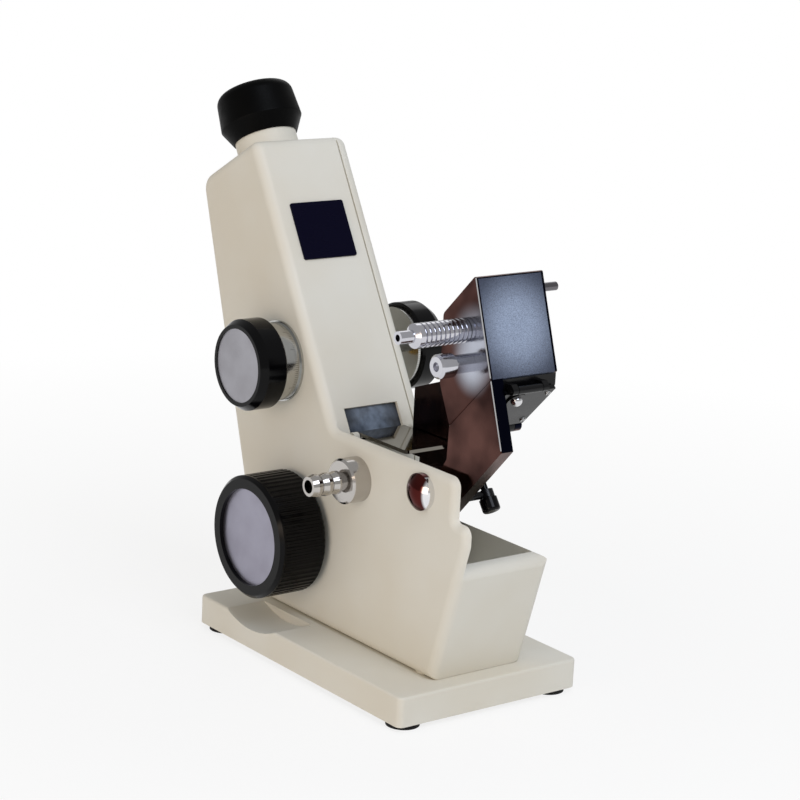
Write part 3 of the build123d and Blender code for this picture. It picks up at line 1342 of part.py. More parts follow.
def compensator_frame():
    reach = CROWN_DEPTH + GAP + FRAME_RING
    low = LOWER_PITCH_U - reach
    high = UPPER_PITCH_U + reach
    solid = tower_rod(FRAME_RADIUS, low, low + FRAME_RING)
    solid += tower_rod(FRAME_RADIUS, high - FRAME_RING, high)
    half = FRAME_BAR_WIDTH / 2
    span = (OPTIC_Y - half, OPTIC_Y + half)
    front = TOWER_FACE - WALL
    back = AXIS_V - FRAME_RADIUS - FRAME_BAR_GAP
    hold = (MOUNT_RADIUS + FRAME_RADIUS) / 2
    for v_low, v_high in ((back, back + FRAME_BAR), (front - 2 * FRAME_BAR, front)):
        solid += tower_block(v_low, v_high, *span, low, high)
    for u in (low, high - FRAME_RING):
        solid += tower_block(back, AXIS_V - hold, *span, u, u + FRAME_RING)
        solid += tower_block(AXIS_V + hold, front, *span, u, u + FRAME_RING)
    return solid - tower_rod(MOUNT_RADIUS + RUN, low, high)


# ---------------------------------------------------------------- bracket and arm
def prism_bracket():
    nose = meet(UNIT_FRONT_LINE, level(PARTING[1] - NOSE_DROP))
    foot = SHELF_Z - BRACKET_FOOT_DROP
    top = SHELF_Z - BRACKET_TOP_DROP
    slant = side_line(BRACKET_SLANT - 90, *nose)
    lower = [
        meet(slant, level(foot)), (BRACKET_REAR_X, foot), (BRACKET_REAR_X, top),
        (BRACKET_HEEL_X, top), (BRACKET_NECK_X, SHELF_Z + BRACKET_NECK_RISE),
    ]
    plate = slab([PARTING, PARTING_FRONT, nose] + lower, UNIT_NEAR_Y, CHEEK_INNER_Y)
    plate = fillet(cross_edges(plate, lower), BRACKET_ROUND)
    bright = face_edges(plate, UNIT_NEAR_Y, (PARTING_LINE, UNIT_FRONT_LINE))
    plate = chamfer(bright, UNIT_EDGE)
    plate += rod(*BRACKET_SCREW, BRACKET_BOSS_RADIUS, NEAR_INNER_Y, UNIT_NEAR_Y)
    plate -= rod(*BRACKET_SCREW, BRACKET_SCREW_RADIUS, -BODY_HALF_WIDTH, 0)
    plate -= rod(*LID_PIVOT, LID_PIN_RADIUS, UNIT_NEAR_Y + PIN_END_WALL, 0)
    return plate - rod(*CLAMP_BAR, CLAMP_BAR_RADIUS, CHEEK_INNER_Y - CLAMP_BAR_SEAT, 0)


def bracket_screws():
    face = -BODY_HALF_WIDTH
    side = face - BUTTON_SIDE
    ball_radius = (BUTTON_RADIUS**2 + BUTTON_DOME**2) / (2 * BUTTON_DOME)
    middle = side - BUTTON_DOME + ball_radius
    dome = Pos(BRACKET_SCREW[0], middle, BRACKET_SCREW[1]) * Sphere(ball_radius)
    button = dome & rod(*BRACKET_SCREW, BUTTON_RADIUS, side - BUTTON_DOME - 1, face)
    shank = rod(*BRACKET_SCREW, BRACKET_SCREW_RADIUS, face, CHEEK_INNER_Y)
    far = BODY_HALF_WIDTH
    cap = rod(*ARM_SCREW, ARM_SCREW_RADIUS + ARM_CAP_WALL, far, far + ARM_CAP)
    socket = far + ARM_CAP - ARM_CAP_SOCKET
    cap -= rod(*ARM_SCREW, ARM_CAP_SOCKET_RADIUS, socket, far + ARM_CAP)
    return [button + shank, cap + rod(*ARM_SCREW, ARM_SCREW_RADIUS, ARM_NEAR_Y, far)]


def far_arm():
    exit_top = meet(BOX_REAR_LINE, EXIT_LINE)
    rear_low = SHELF_Z - ARM_REAR_LOW_DROP
    bends = [
        (ARM_ELBOW_X, SHELF_Z + ARM_ELBOW_RISE),
        (ARM_POST_FRONT_X, SHELF_Z - ARM_POST_TOP_DROP),
    ]
    outline = [
        (ARM_REAR_X, SHELF_Z + ARM_REAR_TOP_RISE), (exit_top[0], SHELF_Z + ARM_FRONT_RISE),
        exit_top, polar(*PARTING, ARM_EXIT_HOLD, EXIT_ANGLE), *bends,
        (ARM_POST_FRONT_X, TRAY_FLOOR_Z), (ARM_POST_REAR_X, TRAY_FLOOR_Z),
        (ARM_POST_REAR_X, rear_low), (ARM_REAR_X, rear_low),
    ]
    plate = slab(outline, ARM_NEAR_Y, UNIT_FAR_Y)
    plate = fillet(cross_edges(plate, bends), ARM_ROUND)
    plate += rod(*ARM_SCREW, ARM_SCREW_RADIUS + ARM_SPACER_WALL, UNIT_FAR_Y, FAR_INNER_Y)
    return plate - rod(*ARM_SCREW, ARM_SCREW_RADIUS, ARM_NEAR_Y, BODY_HALF_WIDTH)


# ---------------------------------------------------------------- prism box
def refracting_outline():
    """Corners of the refracting prism: entry face on the parting plane, then the exit face."""
    exit_line = inset(EXIT_LINE, BOX_WALL)
    rear = meet(PARTING_LINE, exit_line)
    front = polar(*rear, PRISM_FACE, PARTING_ANGLE)
    top = polar(*rear, PRISM_EXIT_FACE, EXIT_ANGLE)
    return [rear, front, top]


def refracting_prism():
    half = PRISM_WIDTH / 2 + TOUCH
    return slab(refracting_outline(), OPTIC_Y - half, OPTIC_Y + half)


def exit_opening():
    """Window in the exit wall of the box, smaller than the prism's exit face."""
    half = PRISM_WIDTH / 2 - EXIT_WINDOW_RIM
    start = polar(*PARTING, EXIT_WINDOW_START, EXIT_ANGLE)
    end = polar(*PARTING, EXIT_WINDOW_END, EXIT_ANGLE)
    edges = (
        side_line(EXIT_ANGLE + 180, *start), inset(EXIT_LINE, -1),
        side_line(EXIT_ANGLE, *end), inset(EXIT_LINE, BOX_WALL + GAP),
    )
    return slab(outline_of(*edges), OPTIC_Y - half, OPTIC_Y + half)


def water_jacket():
    """Sealed water space above the refracting prism."""
    _, front, top = refracting_outline()
    back_line = side_line(heading(front, top) + 90, *front)
    edges = outline_of(
        inset(back_line, -JACKET_WALL),
        inset(UNIT_FRONT_LINE, COVER_PLATE + JACKET_WALL),
        inset(BOX_TOP_LINE, JACKET_WALL),
        inset(BOX_REAR_LINE, JACKET_WALL),
    )
    return slab(edges, UNIT_NEAR_Y + JACKET_WALL, UNIT_FAR_Y - JACKET_WALL)


def box_front_cover():
    edges = outline_of(
        PARTING_LINE, UNIT_FRONT_LINE, inset(BOX_TOP_LINE, COVER_MARGIN),
        inset(UNIT_FRONT_LINE, COVER_PLATE),
    )
    return slab(edges, UNIT_NEAR_Y + COVER_MARGIN, UNIT_FAR_Y - COVER_MARGIN)


def lid_lug():
    """Ear of the box that holds the far end of the lid's pin."""
    ear = rod(*LID_PIVOT, LID_BARREL_RADIUS, LID_FAR_Y, UNIT_FAR_Y)
    web = (-LID_BARREL_BACK, LID_BARREL_RADIUS - LID_BARREL_BACK, -LID_BARREL_DROP, LID_WEB)
    return ear + parting_slab(*web, LID_FAR_Y, UNIT_FAR_Y)


def prism_box():
    outline = outline_of(PARTING_LINE, UNIT_FRONT_LINE, BOX_TOP_LINE, BOX_REAR_LINE, EXIT_LINE)
    solid = slab(outline, UNIT_NEAR_Y, UNIT_FAR_Y)
    crown = (meet(UNIT_FRONT_LINE, BOX_TOP_LINE), meet(BOX_TOP_LINE, BOX_REAR_LINE))
    solid = chamfer(cross_edges(solid, crown), BOX_TOP_EDGE)
    bright = face_edges(solid, UNIT_NEAR_Y, (PARTING_LINE, UNIT_FRONT_LINE))
    solid = chamfer(bright, UNIT_EDGE)
    for space in (box_front_cover(), refracting_prism(), exit_opening(), water_jacket()):
        solid -= space
    solid += lid_lug()
    solid -= rod(*LID_PIVOT, LID_PIN_RADIUS, LID_FAR_Y, UNIT_FAR_Y - PIN_END_WALL)
    for x, z in (BOX_NIPPLE, BOX_PORT):
        solid -= rod(x, z, BOX_THREAD_RADIUS, UNIT_NEAR_Y, UNIT_NEAR_Y + JACKET_WALL)
    return solid - rod(*STUB, STUB_RADIUS, UNIT_FAR_Y - STUB_SEAT, UNIT_FAR_Y)


# ---------------------------------------------------------------- lid and its mirror
def lid_hinge_pin():
    return rod(*LID_PIVOT, LID_PIN_RADIUS, UNIT_NEAR_Y + PIN_END_WALL, UNIT_FAR_Y - PIN_END_WALL)


def illuminating_prism():
    half = PRISM_WIDTH / 2
    end = LID_PRISM_START + LID_PRISM_LENGTH
    low = -GAP - LID_PRISM_DEPTH
    return parting_slab(LID_PRISM_START, end, low, -GAP, OPTIC_Y - half, OPTIC_Y + half)


def lid_window():
    """Hole in the lid through which the light reaches the illuminating prism."""
    half = PRISM_WIDTH / 2 - LID_WINDOW_RIM
    start = LID_PRISM_START + LID_WINDOW_RIM
    end = LID_PRISM_START + LID_PRISM_LENGTH - LID_WINDOW_RIM
    return parting_slab(start, end, -LID_BOTTOM, -GAP, OPTIC_Y - half, OPTIC_Y + half)


def reflector_lug(y):
    """Ear at the lid's front end that holds the mirror's pin."""
    ear = rod(*REFLECTOR_PIVOT, REFLECTOR_BARREL_RADIUS, y, y + REFLECTOR_LUG)
    front = REFLECTOR_ALONG + REFLECTOR_BARREL_RADIUS
    back = REFLECTOR_ALONG - REFLECTOR_BARREL_RADIUS
    bite = REFLECTOR_ALONG - REFLECTOR_LUG_BITE
    top = -LID_BOTTOM / 4
    web = [
        parting_xz(back, -REFLECTOR_DROP), parting_xz(front, -REFLECTOR_DROP),
        parting_xz(front, -LID_BOTTOM), parting_xz(back, top), parting_xz(bite, top),
        parting_xz(bite, -LID_BOTTOM), parting_xz(back, -LID_BOTTOM),
    ]
    return ear + slab(web, y, y + REFLECTOR_LUG)


def lid_frame():
    far = UNIT_FAR_Y - GAP
    edges = outline_of(
        side_line(PARTING_ANGLE + 90, *parting_xz(0, -GAP)),
        side_line(PARTING_ANGLE + 180, *parting_xz(LID_START, 0)),
        side_line(PARTING_ANGLE - 90, *parting_xz(0, -LID_BOTTOM)),
        side_line(0, PARTING_FRONT[0] - LID_FRONT_TRIM, 0),
    )
    plate = slab(edges, LID_NEAR_Y, far)
    barrel_far = LID_FAR_Y - GAP
    barrel = rod(*LID_PIVOT, LID_BARREL_RADIUS, LID_NEAR_Y, barrel_far)
    web_top = -LID_BARREL_DROP + LID_BARREL_RADIUS - LID_WEB_DROP
    web_low = -LID_BARREL_DROP - LID_BARREL_RADIUS / 2
    web_end = LID_START + LID_WEB
    web = parting_slab(-LID_BARREL_BACK, web_end, web_low, web_top, LID_NEAR_Y, barrel_far)
    solid = plate + barrel + web
    solid -= rod(*LID_PIVOT, LID_PIN_RADIUS + RUN, LID_NEAR_Y, barrel_far)
    for y in REFLECTOR_LUGS:
        solid += reflector_lug(y)
    solid -= illuminating_prism()
    solid -= lid_window()
    return solid - mirror_hinge_pin()


def mirror_hinge_pin():
    far = REFLECTOR_LUGS[1] + REFLECTOR_LUG
    return rod(*REFLECTOR_PIVOT, REFLECTOR_PIN_RADIUS, REFLECTOR_LUGS[0], far)


def mirror_plate(trim, height_low, height_high):
    """Block over the reflecting mirror, smaller by `trim` on every side."""
    return parting_slab(
        REFLECTOR_END - REFLECTOR_LENGTH + trim, REFLECTOR_END - trim, height_low, height_high,
        LID_NEAR_Y + GAP + trim, UNIT_FAR_Y - REFLECTOR_FAR_TRIM - trim,
    )


def mirror_glass():
    return mirror_plate(REFLECTOR_RIM, REFLECTOR_TOP - REFLECTOR_GLASS, REFLECTOR_TOP)


def mirror_frame():
    half = REFLECTOR_BARREL_HALF
    span = (OPTIC_Y - half, OPTIC_Y + half)
    solid = mirror_plate(0, REFLECTOR_BOTTOM, REFLECTOR_TOP) - mirror_glass()
    solid += rod(*REFLECTOR_PIVOT, REFLECTOR_BARREL_RADIUS, *span)
    neck_top = REFLECTOR_BOTTOM + REFLECTOR_NECK
    neck_start = REFLECTOR_END - REFLECTOR_NECK
    solid += parting_slab(neck_start, REFLECTOR_ALONG, REFLECTOR_BOTTOM, neck_top, *span)
    solid += knob_place(KNOB_RING) * Cylinder(KNOB_RING_RADIUS, KNOB_RING, align=CENTRE_MIN)
    solid -= rod(*REFLECTOR_PIVOT, REFLECTOR_PIN_RADIUS + RUN, *span)
    return solid - mirror_knob()


def knob_place(depth):
    """Frame below the mirror, at this depth under it, with its Z axis towards the plate."""
    return PARTING_FRAME * Pos(KNOB_ALONG, OPTIC_Y - KNOB_OFFSET, REFLECTOR_BOTTOM - depth)


def mirror_knob():
    dome = knob_place(KNOB_RING) * Sphere(KNOB_RADIUS)
    dome -= knob_place(KNOB_RING) * Cylinder(KNOB_RADIUS + 1, KNOB_RADIUS + 1, align=CENTRE_MIN)
    stem = Cylinder(KNOB_STEM_RADIUS, KNOB_STEM + KNOB_RING, align=CENTRE_MIN)
    return dome + knob_place(KNOB_RING) * stem


# ---------------------------------------------------------------- clamp under the lid
def clamp_arm():
    bar = rod(*CLAMP_BAR, CLAMP_BAR_RADIUS, CHEEK_INNER_Y - CLAMP_BAR_SEAT, OPTIC_Y)
    head = CLAMP_FRAME * Cylinder(CLAMP_HEAD_RADIUS, CLAMP_HEAD_THICK)
    return bar + head - CLAMP_FRAME * Cylinder(CLAMP_SCREW_RADIUS + RUN, 2 * CLAMP_HEAD_THICK)


def clamp_knob():
    near = CLAMP_HEAD_THICK / 2 + GAP
    knob = Pos(0, 0, near) * Cylinder(CLAMP_KNOB_RADIUS, CLAMP_KNOB_WIDTH, align=CENTRE_MIN)
    knob = fillet(knob.faces().sort_by(Axis.Z)[-1].edges(), CLAMP_KNOB_EDGE)
    length = CLAMP_SCREW_TAIL + near
    stem = Pos(0, 0, -CLAMP_SCREW_TAIL) * Cylinder(CLAMP_SCREW_RADIUS, length, align=CENTRE_MIN)
    return CLAMP_FRAME * (knob + stem)


# ---------------------------------------------------------------- hose nipples and stub
def body_hose_nipple():
    face = -BODY_HALF_WIDTH
    boss = face - NIPPLE_BOSS
    edge = NIPPLE_BOSS_EDGE
    profile = [
        (NIPPLE_BORE, face + NIPPLE_THREAD), (NIPPLE_THREAD_RADIUS, face + NIPPLE_THREAD),
        (NIPPLE_THREAD_RADIUS, face), (NIPPLE_BOSS_RADIUS, face),
        (NIPPLE_BOSS_RADIUS, boss + edge), (NIPPLE_BOSS_RADIUS - edge, boss),
        (NIPPLE_NECK_RADIUS, boss),
    ]
    start = boss - NIPPLE_NECK
    for _ in range(NIPPLE_BARBS):
        tip = start - NIPPLE_BARB_PITCH + NIPPLE_BARB_GROOVE
        profile += [
            (NIPPLE_NECK_RADIUS, start), (NIPPLE_BARB_RADIUS, start),
            (NIPPLE_BARB_RADIUS, start - NIPPLE_BARB_LAND), (NIPPLE_TIP_RADIUS, tip),
            (NIPPLE_NECK_RADIUS, tip),
        ]
        start -= NIPPLE_BARB_PITCH
    profile[-1] = (NIPPLE_BORE, tip)
    return turned_y(profile, *BODY_NIPPLE)


def box_hose_nipple():
    face = UNIT_NEAR_Y
    profile = [
        (BOX_NIPPLE_BORE, face + JACKET_WALL), (BOX_THREAD_RADIUS, face + JACKET_WALL),
        (BOX_THREAD_RADIUS, face),
    ]
    start = face
    for _ in range(RIBS):
        land_end = start - RIB_SLOPE - RIB_LAND
        profile += [(RIB_RADIUS, start - RIB_SLOPE), (RIB_RADIUS, land_end)]
        start -= RIB_PITCH
        profile += [(RIB_ROOT_RADIUS, land_end - RIB_SLOPE), (RIB_ROOT_RADIUS, start)]
    collar = start - BOX_NIPPLE_COLLAR
    cone = collar - BOX_NIPPLE_CONE
    end = cone - BOX_NIPPLE_TUBE
    profile += [
        (RIB_RADIUS, start - RIB_SLOPE), (RIB_RADIUS, collar), (BOX_NIPPLE_TUBE_RADIUS, cone),
        (BOX_NIPPLE_TUBE_RADIUS, end), (BOX_NIPPLE_BORE, end),
    ]
    return turned_y(profile, *BOX_NIPPLE)


def box_port_cap():
    face = UNIT_NEAR_Y
    neck = face - PORT_NECK
    end = neck - PORT_CAP
    profile = [
        (0, face + JACKET_WALL), (BOX_THREAD_RADIUS, face + JACKET_WALL),
        (BOX_THREAD_RADIUS, face), (PORT_NECK_RADIUS, face), (PORT_NECK_RADIUS, neck),
        (PORT_CAP_RADIUS, neck), (PORT_CAP_RADIUS, end + PORT_CAP_EDGE),
        (PORT_CAP_RADIUS - PORT_CAP_EDGE, end), (PORT_SOCKET_RADIUS, end),
        (PORT_SOCKET_RADIUS, end + PORT_SOCKET), (0, end + PORT_SOCKET),
    ]
    return turned_y(profile, *BOX_PORT)


def thermometer_stub():
    end = UNIT_FAR_Y + STUB_REACH
    profile = [
        (0, UNIT_FAR_Y - STUB_SEAT), (STUB_RADIUS, UNIT_FAR_Y - STUB_SEAT),
        (STUB_RADIUS, end - STUB_EDGE), (STUB_RADIUS - STUB_EDGE, end), (0, end),
    ]
    return turned_y(profile, *STUB)


# ---------------------------------------------------------------- scale mirror flap
def flap_hinge_pin():
    return rod(*FLAP_PIVOT, FLAP_PIN_RADIUS, FLAP_LUGS[0], FLAP_LUGS[1] + FLAP_LUG_WIDTH)


def scale_flap():
    x, z = FLAP_PIVOT
    top = z + FLAP_BARREL_RADIUS
    plate = block(x, x + FLAP_LENGTH, FLAP_NEAR_Y, FLAP_FAR_Y, top - FLAP_THICK, top)
    upright = plate.edges().filter_by(Axis.Z)
    plate = fillet(upright.filter_by(lambda e: e.center().X > x + FLAP_LENGTH / 2), FLAP_ROUND)
    solid = plate + rod(x, z, FLAP_BARREL_RADIUS, FLAP_NEAR_Y, FLAP_FAR_Y)
    return solid - rod(x, z, FLAP_PIN_RADIUS + RUN, FLAP_NEAR_Y, FLAP_FAR_Y)


# ---------------------------------------------------------------- every node
NODES = [
    base_plate, rubber_feet, base_screws, body_casting, far_side_cover, cover_screws,
    slope_panel, window_glass, eyepiece_collar, telescope_tube, objective_lens, reticle,
    eyepiece_lens_cell, eyepiece_lenses, eyecup, scale_relay_tube, scale_relay_prisms,
    index_bush, index_wheel_rim, index_wheel_disc, index_pinion_shaft, sector_arm,
    glass_scale, tilt_mirror, sector_pivot_pin, dispersion_bushes, dispersion_index_flange,
    near_dispersion_rim, near_dispersion_disc, near_scale_ring, near_pinion_shaft,
    far_dispersion_rim, far_scale_ring, far_pinion_shaft, compensator_frame,
    prism_bracket, bracket_screws, far_arm, prism_box, box_front_cover, refracting_prism,
    box_hose_nipple, box_port_cap, thermometer_stub, body_hose_nipple, lid_hinge_pin,
    lid_frame, illuminating_prism, mirror_hinge_pin, mirror_frame, mirror_glass, mirror_knob,
    clamp_arm, clamp_knob, flap_hinge_pin, scale_flap,
]


def solids_of(shape):
    """Every solid of a shape, or of a list of shapes."""
    items = shape if isinstance(shape, list) else [shape]
    return [solid for item in items for solid in item.solids()]


def every_node():
    """The solids of all nodes by name, still placed about the centre of the base plate."""
    nodes = {node.__name__: solids_of(node()) for node in NODES}
    for half_name, place in (("lower", LOWER_PLACE), ("upper", UPPER_PLACE)):
        nodes[half_name + "_compensator_mount"] = solids_of(compensator_mount(place))
        nodes[half_name + "_amici_prism"] = solids_of(amici_prism(place))
    return nodes


def save(nodes):
    """Put the origin under the middle of the whole object and write one file per node."""
    boxes = [solid.bounding_box() for solids in nodes.values() for solid in solids]
    middle_x = (min(box.min.X for box in boxes) + max(box.max.X for box in boxes)) / 2
    middle_y = (min(box.min.Y for box in boxes) + max(box.max.Y for box in boxes)) / 2
    os.makedirs("parts", exist_ok=True)
    for name, solids in nodes.items():
        moved = [Pos(-middle_x, -middle_y, 0) * solid for solid in solids]
        shape = Compound(children=moved) if len(moved) > 1 else moved[0]
        export_step(shape, "parts/" + name + ".step")


save(every_node())
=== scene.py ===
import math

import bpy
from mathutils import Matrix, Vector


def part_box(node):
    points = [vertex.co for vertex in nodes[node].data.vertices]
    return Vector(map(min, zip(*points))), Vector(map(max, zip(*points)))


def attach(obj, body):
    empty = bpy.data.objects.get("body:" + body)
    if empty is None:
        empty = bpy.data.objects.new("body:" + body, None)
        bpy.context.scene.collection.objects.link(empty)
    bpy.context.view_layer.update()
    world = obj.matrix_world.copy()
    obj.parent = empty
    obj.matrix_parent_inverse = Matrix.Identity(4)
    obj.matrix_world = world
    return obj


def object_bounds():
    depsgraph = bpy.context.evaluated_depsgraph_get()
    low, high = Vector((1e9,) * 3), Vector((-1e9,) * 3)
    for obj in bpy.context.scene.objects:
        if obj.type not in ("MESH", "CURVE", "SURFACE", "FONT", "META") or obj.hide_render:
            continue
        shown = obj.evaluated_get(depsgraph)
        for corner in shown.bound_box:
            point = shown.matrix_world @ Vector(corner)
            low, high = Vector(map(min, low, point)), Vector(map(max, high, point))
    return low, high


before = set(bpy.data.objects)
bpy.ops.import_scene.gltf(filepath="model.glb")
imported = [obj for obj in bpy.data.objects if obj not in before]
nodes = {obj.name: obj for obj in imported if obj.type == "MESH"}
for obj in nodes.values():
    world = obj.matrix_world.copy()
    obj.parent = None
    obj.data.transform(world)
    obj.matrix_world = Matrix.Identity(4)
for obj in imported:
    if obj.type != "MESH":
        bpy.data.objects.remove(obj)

# %% [markdown]
# # A bench refractometer, dressed on its CAD frame
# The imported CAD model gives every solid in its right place. This lesson gives each of them the
# finish of the real thing, and adds the small repeated details that a machinist or an engraver
# would make last. Everything is in metres, in the frame of the CAD: +Z is up, +X runs from the
# eyepiece to the prism box, and +Y points away from the hand wheels that we see.

MM = 0.001
cad_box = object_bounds()
scene = bpy.context.scene
print("nodes in the frame:", len(nodes))
print("CAD box:", [[round(value, 4) for value in corner] for corner in cad_box])

# %% [markdown]
# ## Helpers for materials
# Artists write colours as sRGB hex values, but shaders count in linear light, so srgb turns one
# into the other. One function, add, makes any node: it sets the plain properties and the colour
# stops, and fills the sockets, each with a value or with a link from another node. A function
# for each kind of node would hide what is wired to what, so there is none. The others name what
# the recipes share: an empty material, a texture scale from a size in millimetres, and a fade
# with the distance from a point.

# %% Colour and node helpers
FACTOR, FIRST, SECOND, MIXED = 0, 6, 7, 2  # sockets of a Mix node that is set to colours


def srgb(code):
    """Linear RGBA from a hex colour such as 'E8E2CF'."""
    channels = [int(code[i:i + 2], 16) / 255 for i in (0, 2, 4)]
    linear = [c / 12.92 if c <= 0.04045 else ((c + 0.055) / 1.055) ** 2.4 for c in channels]
    return (*linear, 1.0)


def fill(tree, node, sockets):
    """Gives each named socket of a node a value, or a link from another node."""
    for name, value in sockets.items():
        if isinstance(value, bpy.types.NodeSocket):
            tree.links.new(value, node.inputs[name])
        else:
            node.inputs[name].default_value = value


def add(tree, kind, sockets=None, stops=(), **settings):
    """New node in a tree, with its settings, colour stops, values and links."""
    made = tree.nodes.new(kind)
    for name, value in settings.items():
        setattr(made, name, value)
    for i, (position, colour) in enumerate(stops):
        made.color_ramp.elements[i].position = position
        made.color_ramp.elements[i].color = colour
    fill(tree, made, sockets or {})
    return made


def new_material(name):
    """Empty material and its tree, with a Principled shader wired to the output."""
    material = bpy.data.materials.new(name)
    material.use_nodes = True
    tree = material.node_tree
    tree.nodes.clear()
    shader = add(tree, "ShaderNodeBsdfPrincipled")
    add(tree, "ShaderNodeOutputMaterial", {"Surface": shader.outputs["BSDF"]})
    return material, tree, shader


def per_metre(size_mm):
    """Texture scale that gives features of about this size."""
    return 1.0 / (size_mm * MM)


def away_from(tree, place, centre, near_mm, far_mm):
    """0 within near_mm of a point of the object, 1 beyond far_mm."""
    reach = add(
        tree, "ShaderNodeVectorMath", {0: place, 1: tuple(centre)}, operation="DISTANCE"
    ).outputs["Value"]
    return add(
        tree, "ShaderNodeMapRange",
        {"Value": reach, "From Min": near_mm * MM, "From Max": far_mm * MM},
        interpolation_type="SMOOTHSTEP",
    ).outputs["Result"]


print("white in linear light:", srgb("FFFFFF")[:3])

# %% [markdown]
# ## Enamel on cast metal
# The body and the base are castings, filled, sprayed and baked. Close up, such enamel is not
# flat: it has a very fine orange peel, and it is a little yellower and duller where years of
# hands and cleaning went over it. A plain colour would look like plastic, so the colour drifts
# slowly between two creams over about 60 mm, the gloss drifts with it, and a 1.2 mm noise gives
# the orange peel.

# %% Cream stove enamel
ENAMEL_DRIFT_MM = 60


def enamel(name, pale, warm, peel_mm, peel_height_mm, rough_low, rough_high):
    material, tree, shader = new_material(name)
    place = add(tree, "ShaderNodeTexCoord").outputs["Object"]
    drift = add(
        tree, "ShaderNodeTexNoise",
        {"Vector": place, "Scale": per_metre(ENAMEL_DRIFT_MM), "Detail": 3.0},
    ).outputs["Fac"]
    peel = add(
        tree, "ShaderNodeTexNoise", {"Vector": place, "Scale": per_metre(peel_mm), "Detail": 2.0}
    ).outputs["Fac"]
    gloss = add(
        tree, "ShaderNodeMapRange",
        {"Value": drift, "From Min": 0.35, "From Max": 0.65,
         "To Min": rough_low, "To Max": rough_high},
    ).outputs["Result"]
    bump = add(
        tree, "ShaderNodeBump",
        {"Height": peel, "Distance": peel_height_mm * MM, "Strength": 0.5},
    )
    colour = add(
        tree, "ShaderNodeValToRGB", {"Fac": drift}, ((0.35, srgb(pale)), (0.7, srgb(warm)))
    )
    fill(tree, shader, {
        "Base Color": colour.outputs["Color"],
        "Roughness": gloss,
        "Normal": bump.outputs["Normal"],
        "Specular IOR Level": 0.35,
    })
    return material


cream = enamel(
    "cream_stove_enamel", "E0DDD2", "DBD5C6",
    peel_mm=1.2, peel_height_mm=0.02, rough_low=0.42, rough_high=0.52,
)
print("made", cream.name)

# %% [markdown]
# ## Satin paint on the box's front
# The prism box has a blue-grey front plate. It is blasted first, so a grain of about 0.35 mm
# shows through the paint and scatters the light. The middle is painted lighter than the edges,
# as a painted sheen. The grain drives both the colour and the bump, and the distance from the
# plate's own centre drives the painted sheen.

# %% Blue-grey satin paint
def middle_of(name):
    """Centre of a CAD node's box."""
    low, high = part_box(name)
    return (Vector(low) + Vector(high)) / 2


def satin_paint(name, lit_middle, edge, grain_mm, height_mm, rough, centre, lit_mm, edge_mm):
    material, tree, shader = new_material(name)
    place = add(tree, "ShaderNodeTexCoord").outputs["Object"]
    grain = add(
        tree, "ShaderNodeTexNoise", {"Vector": place, "Scale": per_metre(grain_mm), "Detail": 3.0}
    ).outputs["Fac"]
    # Painted sheen: the colour is lighter near the centre and darker towards the edges.
    fade = away_from(tree, place, centre, lit_mm, edge_mm)
    painted_sheen = add(
        tree, "ShaderNodeMix", {FACTOR: fade, FIRST: srgb(lit_middle), SECOND: srgb(edge)},
        data_type="RGBA",
    ).outputs[MIXED]
    speck = add(
        tree, "ShaderNodeValToRGB", {"Fac": grain},
        ((0.3, srgb("A8A8A8")), (0.62, srgb("FFFFFF"))),
    ).outputs["Color"]
    paint = add(
        tree, "ShaderNodeMix", {FACTOR: 1.0, FIRST: painted_sheen, SECOND: speck},
        data_type="RGBA", blend_type="MULTIPLY",
    ).outputs[MIXED]
    bump = add(
        tree, "ShaderNodeBump", {"Height": grain, "Distance": height_mm * MM, "Strength": 0.6}
    )
    fill(tree, shader, {
        "Base Color": paint, "Normal": bump.outputs["Normal"], "Roughness": rough,
    })
    return material


satin = satin_paint(
    "blue_grey_satin_paint", "A2B0C8", "3C4458", grain_mm=0.35, height_mm=0.05, rough=0.42,
    centre=middle_of("box_front_cover"), lit_mm=6, edge_mm=27,
)
print("made", satin.name)

# %% [markdown]
# ## Moulded plastic and rubber
# The wheels' rims are moulded phenolic or ABS: nearly black and glossy on the ribs, with faint
# scuffs that only change the gloss. The eyecup has a satin skin, the panel on the slope is navy,
# and the feet are rubber, much duller and with a grain. All come out of a mould, so one function
# makes them all with other numbers; the scuffs are a stretched noise about 8 mm long.

# %% Black plastic, black rubber and the navy panel
SCUFF_MM = 8
SCUFF_STRETCH = 0.35


def moulded(name, colour, rough_low, rough_high, grain_mm, grain_height_mm, shine=0.25):
    material, tree, shader = new_material(name)
    place = add(tree, "ShaderNodeTexCoord").outputs["Object"]
    stretch = add(
        tree, "ShaderNodeMapping", {"Vector": place, "Scale": (1.0, SCUFF_STRETCH, 1.0)}
    ).outputs["Vector"]
    scuff = add(
        tree, "ShaderNodeTexNoise",
        {"Vector": stretch, "Scale": per_metre(SCUFF_MM), "Detail": 6.0, "Roughness": 0.7},
    ).outputs["Fac"]
    grain = add(
        tree, "ShaderNodeTexNoise", {"Vector": place, "Scale": per_metre(grain_mm), "Detail": 3.0}
    ).outputs["Fac"]
    gloss = add(
        tree, "ShaderNodeMapRange",
        {"Value": scuff, "From Min": 0.35, "From Max": 0.7,
         "To Min": rough_low, "To Max": rough_high},
    ).outputs["Result"]
    bump = add(
        tree, "ShaderNodeBump",
        {"Height": grain, "Distance": grain_height_mm * MM, "Strength": 0.4},
    )
    fill(tree, shader, {
        "Base Color": srgb(colour),
        "Specular IOR Level": shine,
        "Roughness": gloss,
        "Normal": bump.outputs["Normal"],
    })
    return material


